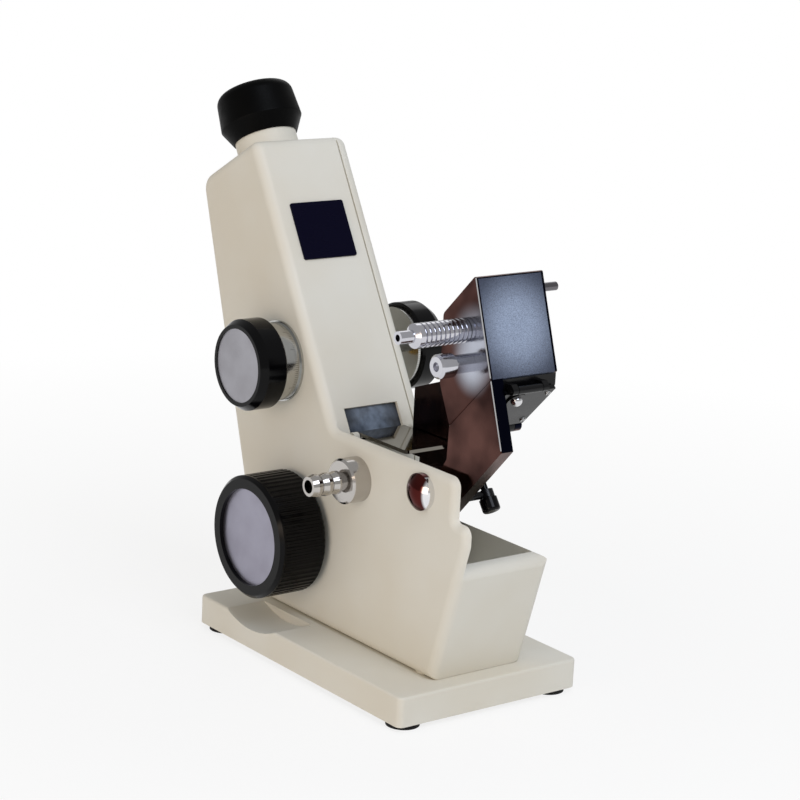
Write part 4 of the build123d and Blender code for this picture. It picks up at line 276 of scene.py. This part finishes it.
black_plastic = moulded(
    "black_moulded_abs", "040405",
    rough_low=0.12, rough_high=0.20, grain_mm=0.8, grain_height_mm=0.004, shine=0.14,
)
black_rubber = moulded(
    "black_foot_rubber", "151515",
    rough_low=0.70, rough_high=0.85, grain_mm=0.5, grain_height_mm=0.05,
)
cup_plastic = moulded(
    "black_satin_eyecup_plastic", "020202",
    rough_low=0.38, rough_high=0.55, grain_mm=0.6, grain_height_mm=0.02, shine=0.06,
)
navy_panel = moulded(
    "navy_screen_printed_plastic", "05041A",
    rough_low=0.25, rough_high=0.32, grain_mm=0.5, grain_height_mm=0.004, shine=0.06,
)
print("made", black_plastic.name, black_rubber.name, cup_plastic.name, navy_panel.name)

# %% [markdown]
# ## Recipe for metal
# A lathe leaves rings, a belt leaves straight lines, and plating covers both with a mirror. So
# one recipe makes every metal here: a colour, a base gloss that clouds over about 12 mm, and
# lines that bend the reflections. The lines come from a Wave texture: BANDS along an axis for
# ground faces, RINGS round an axis for turned ones. Rings need their centre moved onto the
# piece's own axis, and that is what the Mapping node is for. A Wave texture of scale 1 turns
# through 20 radians in a unit of length, so radian_mm is the length of one radian, and the lines
# are 2 pi times as far apart. That is coarser than a real lathe or belt leaves them, because the
# real marks are too fine to show in the render.

# %% One recipe for metal
WAVE_RADIANS = 20
METAL_CLOUD_MM = 12
GLOSSIEST, DULLEST = 0.8, 1.3  # shares of the base roughness


def metal(name, colour, rough, radian_mm, height_mm, pattern="BANDS", axis="X", centre=(0, 0, 0)):
    material, tree, shader = new_material(name)
    place = add(tree, "ShaderNodeTexCoord").outputs["Object"]
    shift = add(
        tree, "ShaderNodeMapping", {"Vector": place, "Location": [-value for value in centre]}
    ).outputs["Vector"]
    lines = add(
        tree, "ShaderNodeTexWave",
        {"Vector": shift, "Scale": per_metre(radian_mm) / WAVE_RADIANS, "Distortion": 1.5,
         "Detail": 3.0, "Detail Scale": 2.0},
        wave_type=pattern, **{pattern.lower() + "_direction": axis},
    ).outputs["Fac"]
    cloud = add(
        tree, "ShaderNodeTexNoise",
        {"Vector": place, "Scale": per_metre(METAL_CLOUD_MM), "Detail": 4.0},
    ).outputs["Fac"]
    gloss = add(
        tree, "ShaderNodeMapRange",
        {"Value": cloud, "From Min": 0.3, "From Max": 0.7,
         "To Min": rough * GLOSSIEST, "To Max": rough * DULLEST},
    ).outputs["Result"]
    bump = add(
        tree, "ShaderNodeBump", {"Height": lines, "Distance": height_mm * MM, "Strength": 0.5}
    )
    fill(tree, shader, {
        "Base Color": srgb(colour),
        "Metallic": 1.0,
        "Roughness": gloss,
        "Normal": bump.outputs["Normal"],
    })
    return material


index_centre = middle_of("index_wheel_disc")
print("centre of the large disc:", [round(value, 4) for value in index_centre])

# %% [markdown]
# ## The metals of this instrument
# Screws and pins are plain bright steel. The knob and the fittings are plated, the scale rings
# are turned aluminium, the discs of the wheels are anodised to a matt grey-violet, and the gear
# and its bushes are brass. A scanned texture for each would show more, but it would not follow
# the turning on each piece's own axis, as the recipe does.

# %% Steel, plate, aluminium and brass
dispersion_centre = middle_of("near_dispersion_disc")
plug_centre = middle_of("body_hose_nipple")
box_nipple_centre = middle_of("box_hose_nipple")

screw_steel = metal("bright_steel", "A8A8A8", rough=0.25, radian_mm=0.5, height_mm=0.004)
chrome = metal("bright_chrome_plate", "D6D6D8", rough=0.07, radian_mm=2.0, height_mm=0.001)
nipple_chrome = metal(
    "turned_nickel_plate", "BDB9B5", rough=0.12, radian_mm=0.6, height_mm=0.003,
    axis="Y", centre=plug_centre,
)
ring_aluminium = metal(
    "turned_aluminium", "B9B9B6", rough=0.16, radian_mm=0.6, height_mm=0.006,
    axis="Y", centre=dispersion_centre,
)
index_disc_metal = metal(
    "matt_anodised_aluminium_large", "A09EAC", rough=0.42, radian_mm=0.7, height_mm=0.004,
    pattern="RINGS", axis="Y", centre=index_centre,
)
dispersion_disc_metal = metal(
    "matt_anodised_aluminium_small", "A3A2A8", rough=0.42, radian_mm=0.7, height_mm=0.004,
    pattern="RINGS", axis="Y", centre=dispersion_centre,
)
gear_brass = metal("machined_brass", "C9A35A", rough=0.28, radian_mm=0.6, height_mm=0.006)
fitting_chrome = metal(
    "turned_chrome_fitting", "CBCBD2", rough=0.12, radian_mm=0.6, height_mm=0.002,
    axis="Y", centre=box_nipple_centre,
)
dark_chrome = metal("smoked_chrome_plate", "6E6C70", rough=0.14, radian_mm=0.6, height_mm=0.002)
print("materials so far:", len(bpy.data.materials))

# %% [markdown]
# ## Mirror plate of the prism box, with painted reflections
# The jacket of the prism box, its cheek and its arm are mirror metal. Their dark red-brown
# colour is a painted reflection of a dark room, clouded over about 22 mm, and the arm is a darker
# copy for painted shade. The bluish-white patches round the hose fittings are painted
# highlights, and the faces that look to the front carry a blue-black lacquer; on the domed button
# that front colour is a near-white painted highlight. The lacquer follows the face's own normal,
# and the painted highlights follow their distance from the fittings, so neither needs a painted
# map.

# %% Mirror metal with painted reflection and highlights
REFLECTION_CLOUD_MM = 22
STREAK_MM = 3
STREAK_STRETCH = 0.25
STREAK_HEIGHT_MM = 0.004
STREAK_ROUGHNESS = 0.12
FRONT_COAT_FADE = 0.1


def mirror_metal_with_painted_reflection(name, dark, clouded, bright, front, polished, rough, front_from=0.8):
    material, tree, shader = new_material(name)
    where = add(tree, "ShaderNodeTexCoord").outputs
    place = where["Object"]
    cloud = add(
        tree, "ShaderNodeTexNoise",
        {"Vector": place, "Scale": per_metre(REFLECTION_CLOUD_MM), "Detail": 2.5},
    ).outputs["Fac"]
    smear = add(
        tree, "ShaderNodeMapping", {"Vector": place, "Scale": (1.0, 1.0, STREAK_STRETCH)}
    ).outputs["Vector"]
    streak = add(
        tree, "ShaderNodeTexNoise",
        {"Vector": smear, "Scale": per_metre(STREAK_MM), "Detail": 4.0},
    ).outputs["Fac"]
    # Painted reflection: the cloud mixes two dark red-brown colours over the mirror metal.
    colour = add(
        tree, "ShaderNodeValToRGB", {"Fac": cloud},
        ((0.38, srgb(dark)), (0.68, srgb(clouded))),
    ).outputs["Color"]
    # Painted highlights: near each centre the colour turns bluish white.
    for centre, near_mm, far_mm in polished:
        fade = away_from(tree, place, centre, near_mm, far_mm)
        colour = add(
            tree, "ShaderNodeMix", {FACTOR: fade, FIRST: srgb(bright), SECOND: colour},
            data_type="RGBA",
        ).outputs[MIXED]
    facing = add(tree, "ShaderNodeSeparateXYZ", {"Vector": where["Normal"]}).outputs["X"]
    ahead = add(
        tree, "ShaderNodeMapRange",
        {"Value": facing, "From Min": front_from, "From Max": front_from + FRONT_COAT_FADE},
    ).outputs["Result"]
    gloss = add(
        tree, "ShaderNodeMapRange",
        {"Value": streak, "From Min": 0.35, "From Max": 0.7,
         "To Min": rough, "To Max": rough + STREAK_ROUGHNESS},
    ).outputs["Result"]
    bump = add(
        tree, "ShaderNodeBump",
        {"Height": streak, "Distance": STREAK_HEIGHT_MM * MM, "Strength": 0.5},
    )
    # On the box and the arm this front colour is a blue-black lacquer; on the domed button it is
    # a painted highlight.
    lacquer_and_highlight = add(
        tree, "ShaderNodeMix", {FACTOR: ahead, FIRST: colour, SECOND: srgb(front)},
        data_type="RGBA",
    ).outputs[MIXED]
    fill(tree, shader, {
        "Base Color": lacquer_and_highlight,
        "Roughness": gloss,
        "Normal": bump.outputs["Normal"],
        "Metallic": 1.0,
    })
    return material


def at(x, y, z):
    """Point in metres from millimetres."""
    return Vector((x, y, z)) * MM


JACKET_SIDE_Y = -20.1
HIGHLIGHT_PATCHES = (  # centre, then where the painted highlight begins to fade and where it ends, in mm
    (at(97, JACKET_SIDE_Y, 168), 1, 19),
    (at(94, JACKET_SIDE_Y, 157), 1, 14),
)
box_painted_reflection = mirror_metal_with_painted_reflection(
    "mirror_plate_painted_reflection", "2C1714", "5C3E38", "B4B8C4", "0A0C1A",
    polished=HIGHLIGHT_PATCHES, rough=0.12,
)
# The arm's copy is darker: painted shade where it sits between the wall and the cheek, over the
# painted reflection.
arm_painted_reflection_and_shade = mirror_metal_with_painted_reflection(
    "arm_plate_painted_reflection_and_shade", "140908", "2E1713", "3A2A26", "0A0C1A", polished=(), rough=0.16
)
# The domed button: a dark red-brown painted reflection, and a near-white painted highlight on the
# side that faces the front.
button_painted_reflection_and_highlight = mirror_metal_with_painted_reflection(
    "domed_button_painted_reflection_and_highlight", "35100E", "5A2724", "C0C0C4", "E6E6E8",
    polished=(), rough=0.07, front_from=0.42,
)
print("made", box_painted_reflection.name, arm_painted_reflection_and_shade.name, button_painted_reflection_and_highlight.name)

# %% [markdown]
# ## Glass and silvered glass
# Lenses and prisms are clear crown glass with a faint green in the depth. The entry window is a
# smoked pane in front of a dark tower, so almost nothing comes back through it: it is made as a
# glossy paint lighter in the middle, a painted reflection, by the satin paint's recipe, no grain
# height.
# A front-silvered mirror is simply a metal with almost no roughness; its dust is a cloudy
# change of gloss.

# %% Optical glass, window pane and silvered glass
DUST_MM = 5
DUST_ROUGHNESS = 0.08
CROWN_IOR = 1.52


def glass(name, tint, rough):
    material, tree, shader = new_material(name)
    place = add(tree, "ShaderNodeTexCoord").outputs["Object"]
    dust = add(
        tree, "ShaderNodeTexNoise", {"Vector": place, "Scale": per_metre(DUST_MM), "Detail": 5.0}
    ).outputs["Fac"]
    film = add(
        tree, "ShaderNodeMapRange",
        {"Value": dust, "From Min": 0.45, "From Max": 0.75,
         "To Min": rough, "To Max": rough + DUST_ROUGHNESS},
    ).outputs["Result"]
    fill(tree, shader, {
        "Roughness": film,
        "Base Color": srgb(tint),
        "Transmission Weight": 1.0,
        "IOR": CROWN_IOR,
    })
    return material


clear_glass = glass("crown_glass", "F2FAF6", rough=0.01)
# Painted reflection: the pane is lighter in the middle and darker at its edges.
pane_glass = satin_paint(
    "smoked_window_pane", "8592A4", "30353F", grain_mm=6.0, height_mm=0.0, rough=0.12,
    centre=middle_of("window_glass"), lit_mm=2, edge_mm=17,
)
silver_glass = metal(
    "silvered_mirror_glass", "E4E6E8", rough=0.03, radian_mm=4.0, height_mm=0.0005
)
flap_mirror = metal(
    "polished_speculum_plate", "76726B", rough=0.06, radian_mm=3.0, height_mm=0.0008
)
black_lacquer = moulded(
    "black_gloss_lacquer", "08080A",
    rough_low=0.16, rough_high=0.30, grain_mm=0.4, grain_height_mm=0.01,
)
print("made", clear_glass.name, pane_glass.name, silver_glass.name)

# %% [markdown]
# ## Dressing the CAD nodes
# Each solid of the instrument has one finish. A line of code for each would work, but a table
# from finish to nodes keeps the whole object in view. A node's object keeps its mesh; only the
# material in its slots changes.

# %% Put the finishes on
finishes = {
    cream: "base_plate body_casting far_side_cover eyepiece_collar",
    black_rubber: "rubber_feet",
    cup_plastic: "eyecup",
    black_plastic: "near_dispersion_rim far_dispersion_rim index_wheel_rim clamp_knob",
    navy_panel: "slope_panel",
    index_disc_metal: "index_wheel_disc",
    dispersion_disc_metal: "near_dispersion_disc",
    ring_aluminium: "near_scale_ring far_scale_ring dispersion_index_flange compensator_frame",
    nipple_chrome: "body_hose_nipple",
    fitting_chrome: "box_hose_nipple box_port_cap",
    chrome: "mirror_knob",
    dark_chrome: "thermometer_stub",
    button_painted_reflection_and_highlight: "bracket_screws",
    box_painted_reflection: "prism_box prism_bracket",
    arm_painted_reflection_and_shade: "far_arm",
    screw_steel: "base_screws cover_screws lid_hinge_pin flap_hinge_pin mirror_hinge_pin"
    " sector_pivot_pin index_pinion_shaft near_pinion_shaft far_pinion_shaft",
    satin: "box_front_cover",
    black_lacquer: "lid_frame mirror_frame clamp_arm telescope_tube scale_relay_tube"
    " eyepiece_lens_cell",
    gear_brass: "sector_arm lower_compensator_mount upper_compensator_mount index_bush"
    " dispersion_bushes",
    clear_glass: "objective_lens reticle eyepiece_lenses scale_relay_prisms refracting_prism"
    " illuminating_prism lower_amici_prism upper_amici_prism glass_scale",
    pane_glass: "window_glass",
    silver_glass: "tilt_mirror mirror_glass",
    flap_mirror: "scale_flap",
}
dressed = [(nodes[name], finish) for finish, names in finishes.items() for name in names.split()]
for node, finish in dressed:
    node.data.materials.clear()
    node.data.materials.append(finish)
print("dressed", len(dressed), "of", len(nodes), "nodes")

# %% [markdown]
# ## Geometry Nodes: a ring of marks
# Division lines on a ring, flutes round a grip, balls in a bearing: all are one shape,
# repeated round a circle. This tree takes the number of copies, the circle's radius and the
# size of one bar. It puts a point for each copy on a circle, a bar on each point, turns the
# bar to face outwards, and makes the copies real, because an export drops instances.

# %% Tree for bars round a circle
def socket(tree, name, kind, value=None):
    """Named input of a node group, with its default where it has one."""
    made = tree.interface.new_socket(name=name, in_out="INPUT", socket_type=kind)
    if value is not None:
        made.default_value = value


def make_real(tree, given, copies):
    """The end that each tree shares: real copies in the given finish."""
    real = add(tree, "GeometryNodeRealizeInstances", {"Geometry": copies.outputs["Instances"]})
    painted = add(
        tree, "GeometryNodeSetMaterial",
        {"Geometry": real.outputs["Geometry"], "Material": given["Finish"]},
    )
    add(tree, "NodeGroupOutput", {"Geometry": painted.outputs["Geometry"]})


def ring_of_bars():
    tree = bpy.data.node_groups.new("ring_of_bars", "GeometryNodeTree")
    socket(tree, "Count", "NodeSocketInt", 36)
    socket(tree, "Radius", "NodeSocketFloat", 0.01)
    socket(tree, "Bar Depth", "NodeSocketFloat", 0.0002)
    socket(tree, "Bar Width", "NodeSocketFloat", 0.0002)
    socket(tree, "Bar Length", "NodeSocketFloat", 0.002)
    socket(tree, "Finish", "NodeSocketMaterial")
    tree.interface.new_socket(name="Geometry", in_out="OUTPUT", socket_type="NodeSocketGeometry")
    given = add(tree, "NodeGroupInput").outputs
    circle = add(
        tree, "GeometryNodeMeshCircle", {"Vertices": given["Count"], "Radius": given["Radius"]}
    )
    place = add(tree, "GeometryNodeInputPosition").outputs["Position"]
    facing = add(tree, "FunctionNodeAlignRotationToVector", {"Vector": place}, axis="X")
    size = add(
        tree, "ShaderNodeCombineXYZ",
        {"X": given["Bar Depth"], "Y": given["Bar Width"], "Z": given["Bar Length"]},
    )
    bar = add(tree, "GeometryNodeMeshCube", {"Size": size.outputs["Vector"]})
    copies = add(
        tree, "GeometryNodeInstanceOnPoints",
        {"Points": circle.outputs["Mesh"], "Instance": bar.outputs["Mesh"],
         "Rotation": facing.outputs["Rotation"]},
    )
    make_real(tree, given, copies)
    return tree


bars = ring_of_bars()
print("inputs:", [item.name for item in bars.interface.items_tree])

# %% [markdown]
# ## From a tree to a plain mesh
# A modifier could stay on the piece, but the export wants plain meshes, and a piece that is
# made once needs no live modifier. So the tree runs on a small seed mesh, its result is read
# back as a mesh, put in its place and given to the body that carries it.

# %% Run a tree and keep its mesh
def grow(name, tree, values, place, body, points=()):
    """Runs a tree on a seed mesh and keeps its result as a plain mesh that rides on a body."""
    start = bpy.data.meshes.new(name + "_seed")
    start.from_pydata(list(points), [], [])
    seed = bpy.data.objects.new(name + "_seed", start)
    scene.collection.objects.link(seed)
    modifier = seed.modifiers.new("grow", "NODES")
    modifier.node_group = tree
    for item in tree.interface.items_tree:
        if item.item_type == "SOCKET" and item.in_out == "INPUT" and item.name in values:
            modifier[item.identifier] = values[item.name]
    ready = seed.evaluated_get(bpy.context.evaluated_depsgraph_get())
    mesh = bpy.data.meshes.new_from_object(ready)
    seed.modifiers.remove(modifier)
    bpy.data.objects.remove(seed)
    mesh.transform(place)
    made = bpy.data.objects.new(name, mesh)
    scene.collection.objects.link(made)
    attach(made, body)
    print(name, "faces:", len(mesh.polygons))


Y_AXIS = Matrix.Rotation(math.radians(-90), 4, "X")
print("a tree's Z axis lies along", tuple(round(value) for value in Y_AXIS @ Vector((0, 0, 1))))

# %% [markdown]
# ## Division lines of the dispersion scale
# The silver ring behind the small wheel carries a scale from 0 to 60 and back, so it has 120
# fine lines, and each tenth is longer. On the real ring they are engraved and filled with
# black. A groove that is filled level shows only as a black line, so here each is a bar 0.14 mm
# wide that stands 0.02 mm out of the ring, and the ring's own mesh stays as it is.

# %% Engraved lines on the near ring and on the far ring
LINE_WIDTH_MM = 0.14
LINE_DEPTH_MM = 0.1
LINE_MIDDLE_SUNK_MM = 0.03
engraver_black = moulded(
    "black_engraving_paste", "15140F",
    rough_low=0.5, rough_high=0.6, grain_mm=0.4, grain_height_mm=0.0,
)


def along_y(centre, y):
    """Place of a ring whose axis is along Y."""
    return Matrix.Translation((centre.x, y, centre.z)) @ Y_AXIS


def divide(name, node, count, length_mm, from_low, body):
    """Lines round a node's outside, starting at its low or high Y end."""
    low, high = (Vector(corner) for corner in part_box(node))
    length = length_mm * MM
    middle = low.y + length / 2 if from_low else high.y - length / 2
    radius = (high.z - low.z) / 2
    values = {
        "Count": count,
        "Radius": radius - LINE_MIDDLE_SUNK_MM * MM,
        "Bar Depth": LINE_DEPTH_MM * MM,
        "Bar Width": LINE_WIDTH_MM * MM,
        "Bar Length": length,
        "Finish": engraver_black,
    }
    grow(name, bars, values, along_y((low + high) / 2, middle), body)


divide("near_scale_fine_lines", "near_scale_ring", 120, 1.6, False, "near_dispersion_wheel")
divide("near_scale_tenth_lines", "near_scale_ring", 12, 3.2, False, "near_dispersion_wheel")
divide("far_scale_lines", "far_scale_ring", 120, 1.2, True, "far_dispersion_wheel")

# %% [markdown]
# ## Geometry Nodes: slotted screw heads
# A cheese-head screw is turned, chamfered at its rim and sawn across for the driver. The tree
# takes a few points, sets a head on each with its slot cut across, and makes the copies real.
# The head is a cone frustum, because its rim is chamfered, and the slot is a bar taken out of
# it with a Mesh Boolean, so that it is a real cut and not a dark line.

# %% Tree for slotted screw heads on points
RIM_POINTS = 24
CROWN_SHARE = 0.85  # of the head's radius
CUTTER_SHARE = 3.0  # of the head's radius, so that the bar passes right across


def slotted_heads():
    tree = bpy.data.node_groups.new("slotted_heads", "GeometryNodeTree")
    socket(tree, "Points", "NodeSocketGeometry")
    socket(tree, "Head Radius", "NodeSocketFloat", 0.0015)
    socket(tree, "Head Height", "NodeSocketFloat", 0.0006)
    socket(tree, "Slot Width", "NodeSocketFloat", 0.0004)
    socket(tree, "Finish", "NodeSocketMaterial")
    tree.interface.new_socket(name="Geometry", in_out="OUTPUT", socket_type="NodeSocketGeometry")
    given = add(tree, "NodeGroupInput").outputs
    crown = add(
        tree, "ShaderNodeMath", {0: given["Head Radius"], 1: CROWN_SHARE}, operation="MULTIPLY"
    )
    head = add(
        tree, "GeometryNodeMeshCone",
        {"Vertices": RIM_POINTS, "Radius Top": crown.outputs["Value"],
         "Radius Bottom": given["Head Radius"], "Depth": given["Head Height"]},
    )
    across = add(
        tree, "ShaderNodeMath", {0: given["Head Radius"], 1: CUTTER_SHARE}, operation="MULTIPLY"
    )
    bar = add(
        tree, "ShaderNodeCombineXYZ",
        {"X": across.outputs["Value"], "Y": given["Slot Width"], "Z": given["Head Height"]},
    )
    cutter = add(tree, "GeometryNodeMeshCube", {"Size": bar.outputs["Vector"]})
    lift = add(tree, "ShaderNodeCombineXYZ", {"Z": given["Head Height"]})
    raised = add(
        tree, "GeometryNodeTransform",
        {"Geometry": cutter.outputs["Mesh"], "Translation": lift.outputs["Vector"]},
    )
    cut = add(
        tree, "GeometryNodeMeshBoolean",
        {"Mesh 1": head.outputs["Mesh"], "Mesh 2": raised.outputs["Geometry"]},
        operation="DIFFERENCE",
    )
    copies = add(
        tree, "GeometryNodeInstanceOnPoints",
        {"Points": given["Points"], "Instance": cut.outputs["Mesh"]},
    )
    make_real(tree, given, copies)
    return tree


heads = slotted_heads()
print("inputs:", [item.name for item in heads.interface.items_tree])

# %% [markdown]
# ## Screws of the folding mirror
# Three small cheese-head screws clamp the mirror's glass into its frame, near the corners of the
# outer face. They could be placed one by one in the world, but the frame lies at 45 degrees, so
# their places are given on the face itself, in millimetres, and one matrix lays them on it.

# %% Screws on the mirror's outer face
PARTING_POINT = at(81.565, 0, 129.3)
PARTING_TILT = math.radians(-45)
OUTER_FACE_MM = -6.3
HEAD_PLACES_MM = ((29.6, 12.0), (8.0, 12.0), (8.0, -10.6))

parting = Matrix.Translation(PARTING_POINT) @ Matrix.Rotation(PARTING_TILT, 4, "Y")
outwards = Matrix.Translation((0, 0, OUTER_FACE_MM * MM)) @ Matrix.Rotation(math.pi, 4, "X")
head_sizes = {
    "Head Radius": 1.5 * MM,
    "Head Height": 0.6 * MM,
    "Slot Width": 0.4 * MM,
    "Finish": screw_steel,
}
head_points = [(along * MM, -across * MM, 0) for along, across in HEAD_PLACES_MM]
grow(
    "mirror_screw_heads", heads, head_sizes, parting @ outwards,
    "reflecting_mirror", head_points,
)

# %% [markdown]
# ## Bright edge of the prism box and its cheek
# The near corner of the box and of the cheek shows as a fine white line from the top of the box
# to the nose of the cheek, a painted highlight of the edge. The CAD has a 0.4 mm chamfer there,
# which is one solid with the painted-reflection faces beside it. A thin strip lies on it, so that
# the line has its own near-white finish.

# %% Painted highlight strip on the two chamfers
CHAMFER_MM = 0.4
EDGE_WIDTH_MM = 0.5
STRIP_SUNK_MM = -0.1
STRIP_PROUD_MM = 0.02
# Near-white metal for the painted highlight along the edge.
edge_highlight_metal = metal(
    "painted_edge_highlight", "F2F2F4", rough=0.10, radian_mm=2.0, height_mm=0.001
)


def edge_strip(name, top, foot, body):
    """Thin bar on a chamfer between the near face and the front face."""
    along = (foot - top).normalized()
    front = Vector((-along.z, 0, along.x))
    out = (front + Vector((0, -1, 0))).normalized()
    side = along.cross(out) * EDGE_WIDTH_MM / 2 * MM
    inset = CHAMFER_MM / 2
    middle = -front * inset * MM + Vector((0, inset, 0)) * MM
    section = (
        (-1, STRIP_SUNK_MM), (1, STRIP_SUNK_MM), (1, STRIP_PROUD_MM), (-1, STRIP_PROUD_MM)
    )
    corners = [
        end + middle + side * across + out * rise * MM
        for end in (top, foot) for across, rise in section
    ]
    faces = [(0, 3, 2, 1), (4, 5, 6, 7), (0, 1, 5, 4), (1, 2, 6, 5), (2, 3, 7, 6), (3, 0, 4, 7)]
    mesh = bpy.data.meshes.new(name)
    mesh.from_pydata(corners, [], faces)
    mesh.materials.append(edge_highlight_metal)
    made = bpy.data.objects.new(name, mesh)
    scene.collection.objects.link(made)
    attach(made, body)
    print(name, "long:", round((foot - top).length, 4), "m")


NEAR_FACE_Y = -20.125
BOX_TOP = at(93.408, NEAR_FACE_Y, 196.157)
BOX_FOOT = at(107.02, NEAR_FACE_Y, 154.756)
CHEEK_NOSE = at(116.639, NEAR_FACE_Y, 125.5)
STRIPS = (  # name, upper and lower end of the chamfer, shares of it where the strip lies
    ("box_bright_edge", BOX_TOP, BOX_FOOT, 0.02, 0.985),
    ("cheek_bright_edge", BOX_FOOT, CHEEK_NOSE, 0.02, 0.97),
)
for name, upper, lower, begins, ends in STRIPS:
    edge_strip(name, upper.lerp(lower, begins), upper.lerp(lower, ends), "stand")

# %% [markdown]
# ## Camera
# The photograph was taken from a little above, with a long lens, so that the upright edges
# hardly converge. The place, the aim and the slight roll were fitted to the edges of the base
# plate and the tower. Blender's camera looks along its own -Z, so its matrix is made of the
# right, up and backward directions.

# %% Camera at the photograph's angle
CAMERA_PLACE = at(847.06, -643.98, 388.5)
CAMERA_BACK = Vector((0.7647, -0.5961, 0.2448)).normalized()
CAMERA_ROLL = math.radians(2.86)
FOCAL_PIXELS = 2403.0
FRAME_PIXELS = 800.0
SENSOR_MM = 36.0

right = Vector((0, 0, 1)).cross(CAMERA_BACK).normalized()
up = CAMERA_BACK.cross(right)
camera_data = bpy.data.cameras.new("photo_camera")
camera_data.sensor_width = SENSOR_MM
camera_data.sensor_fit = "HORIZONTAL"
camera_data.lens = FOCAL_PIXELS / FRAME_PIXELS * SENSOR_MM
camera_data.clip_start = 0.01
camera = bpy.data.objects.new("photo_camera", camera_data)
rolled_right = right * math.cos(CAMERA_ROLL) + up * math.sin(CAMERA_ROLL)
rolled_up = up * math.cos(CAMERA_ROLL) - right * math.sin(CAMERA_ROLL)
aim = Matrix((rolled_right, rolled_up, CAMERA_BACK)).transposed()
camera.matrix_world = Matrix.Translation(CAMERA_PLACE) @ aim.to_4x4()
scene.collection.objects.link(camera)
scene.camera = camera
print("lens", round(camera_data.lens, 1), "mm")

# %% [markdown]
# ## Floor
# A product photograph stands on pale paper that runs off white. Brighter lamps would burn it
# out, and the object with it. So the floor itself shows white to the camera and in reflections,
# through the Light Path node, a little less so close to the object, where it takes its shadow.

# %% Pale floor
FLOOR_SIDE = 40.0
SHADOW_REACH, WHITE_REACH = 0.15, 0.6
WHITE_BY_THE_OBJECT = 0.8


def floor_material():
    material, tree, shader = new_material("pale_studio_floor")
    fill(tree, shader, {"Base Color": srgb("F4F3F0"), "Roughness": 0.8})
    rays = add(tree, "ShaderNodeLightPath").outputs
    either = add(
        tree, "ShaderNodeMath", {0: rays["Is Camera Ray"], 1: rays["Is Glossy Ray"]},
        operation="MAXIMUM",
    ).outputs["Value"]
    seen = add(
        tree, "ShaderNodeMath", {0: either, 1: rays["Is Transmission Ray"]}, operation="MAXIMUM"
    ).outputs["Value"]
    spot = add(tree, "ShaderNodeTexCoord").outputs["Object"]
    away = add(tree, "ShaderNodeVectorMath", {0: spot}, operation="LENGTH").outputs["Value"]
    white = add(
        tree, "ShaderNodeMapRange",
        {"Value": away, "From Min": SHADOW_REACH, "From Max": WHITE_REACH,
         "To Min": WHITE_BY_THE_OBJECT, "To Max": 1.0},
    ).outputs["Result"]
    strength = add(
        tree, "ShaderNodeMath", {0: seen, 1: white}, operation="MULTIPLY"
    ).outputs["Value"]
    glow = add(tree, "ShaderNodeEmission", {"Color": srgb("FFFFFF"), "Strength": 1.0})
    mixed = add(
        tree, "ShaderNodeMixShader",
        {"Fac": strength, 1: shader.outputs["BSDF"], 2: glow.outputs["Emission"]},
    )
    output = next(item for item in tree.nodes if item.type == "OUTPUT_MATERIAL")
    fill(tree, output, {"Surface": mixed.outputs["Shader"]})
    return material


def floor(side):
    mesh = bpy.data.meshes.new("studio_floor")
    half = side / 2
    corners = [(-half, -half, 0), (half, -half, 0), (half, half, 0), (-half, half, 0)]
    mesh.from_pydata(corners, [], [(0, 1, 2, 3)])
    mesh.materials.append(floor_material())
    made = bpy.data.objects.new("studio_floor", mesh)
    scene.collection.objects.link(made)


floor(FLOOR_SIDE)
print("floor", FLOOR_SIDE, "m wide")

# %% [markdown]
# ## Surround
# White walls would give the metal something to mirror, but they would have to be built and lit.
# The world does it: white where the camera and the glass look into it, and dimmer where it
# lights the object or shows in its metal, so that the lamps still shape it.

# %% White surround
SURROUND_STRENGTH = 0.45


def surround(strength):
    world = bpy.data.worlds.new("white_surround")
    world.use_nodes = True
    tree = world.node_tree
    tree.nodes.clear()
    rays = add(tree, "ShaderNodeLightPath").outputs
    either = add(
        tree, "ShaderNodeMath", {0: rays["Is Camera Ray"], 1: rays["Is Transmission Ray"]},
        operation="MAXIMUM",
    ).outputs["Value"]
    power = add(
        tree, "ShaderNodeMapRange", {"Value": either, "To Min": strength, "To Max": 1.0}
    ).outputs["Result"]
    back = add(tree, "ShaderNodeBackground", {"Color": srgb("FFFFFF"), "Strength": power})
    add(tree, "ShaderNodeOutputWorld", {"Surface": back.outputs["Background"]})
    scene.world = world


surround(SURROUND_STRENGTH)
print("world:", scene.world.name)

# %% [markdown]
# ## Lamps
# Bare bulbs would show as points in the polished metal, so softboxes 0.6 to 0.7 m wide light
# it, and their broad, even shapes are what the metal mirrors. A cool key from the front and
# above, a warm one low at the wheels' side and a weak one from behind keep the light plain.

# %% Three softboxes
LAMPS = (  # name, place in metres, side in metres, power in watts, colour
    ("key_softbox", (0.9, -0.1, 1.1), 0.7, 8.3, "E8F0FF"),
    ("side_softbox", (0.35, -1.2, 0.2), 0.7, 4.4, "FFE9D2"),
    ("back_softbox", (-0.8, 0.9, 0.9), 0.6, 1.0, "FFFFFF"),
)


def lamp(name, place, target, side, power, colour):
    light = bpy.data.lights.new(name, "AREA")
    light.size = side
    light.energy = power
    light.color = srgb(colour)[:3]
    made = bpy.data.objects.new(name, light)
    made.location = place
    made.rotation_euler = (Vector(target) - Vector(place)).to_track_quat("-Z", "Y").to_euler()
    scene.collection.objects.link(made)


object_middle = (Vector(cad_box[0]) + Vector(cad_box[1])) / 2
for name, place, side, power, colour in LAMPS:
    lamp(name, place, object_middle, side, power, colour)
scene.view_settings.view_transform = "Standard"
print("lamps:", [item.name for item in bpy.data.lights])
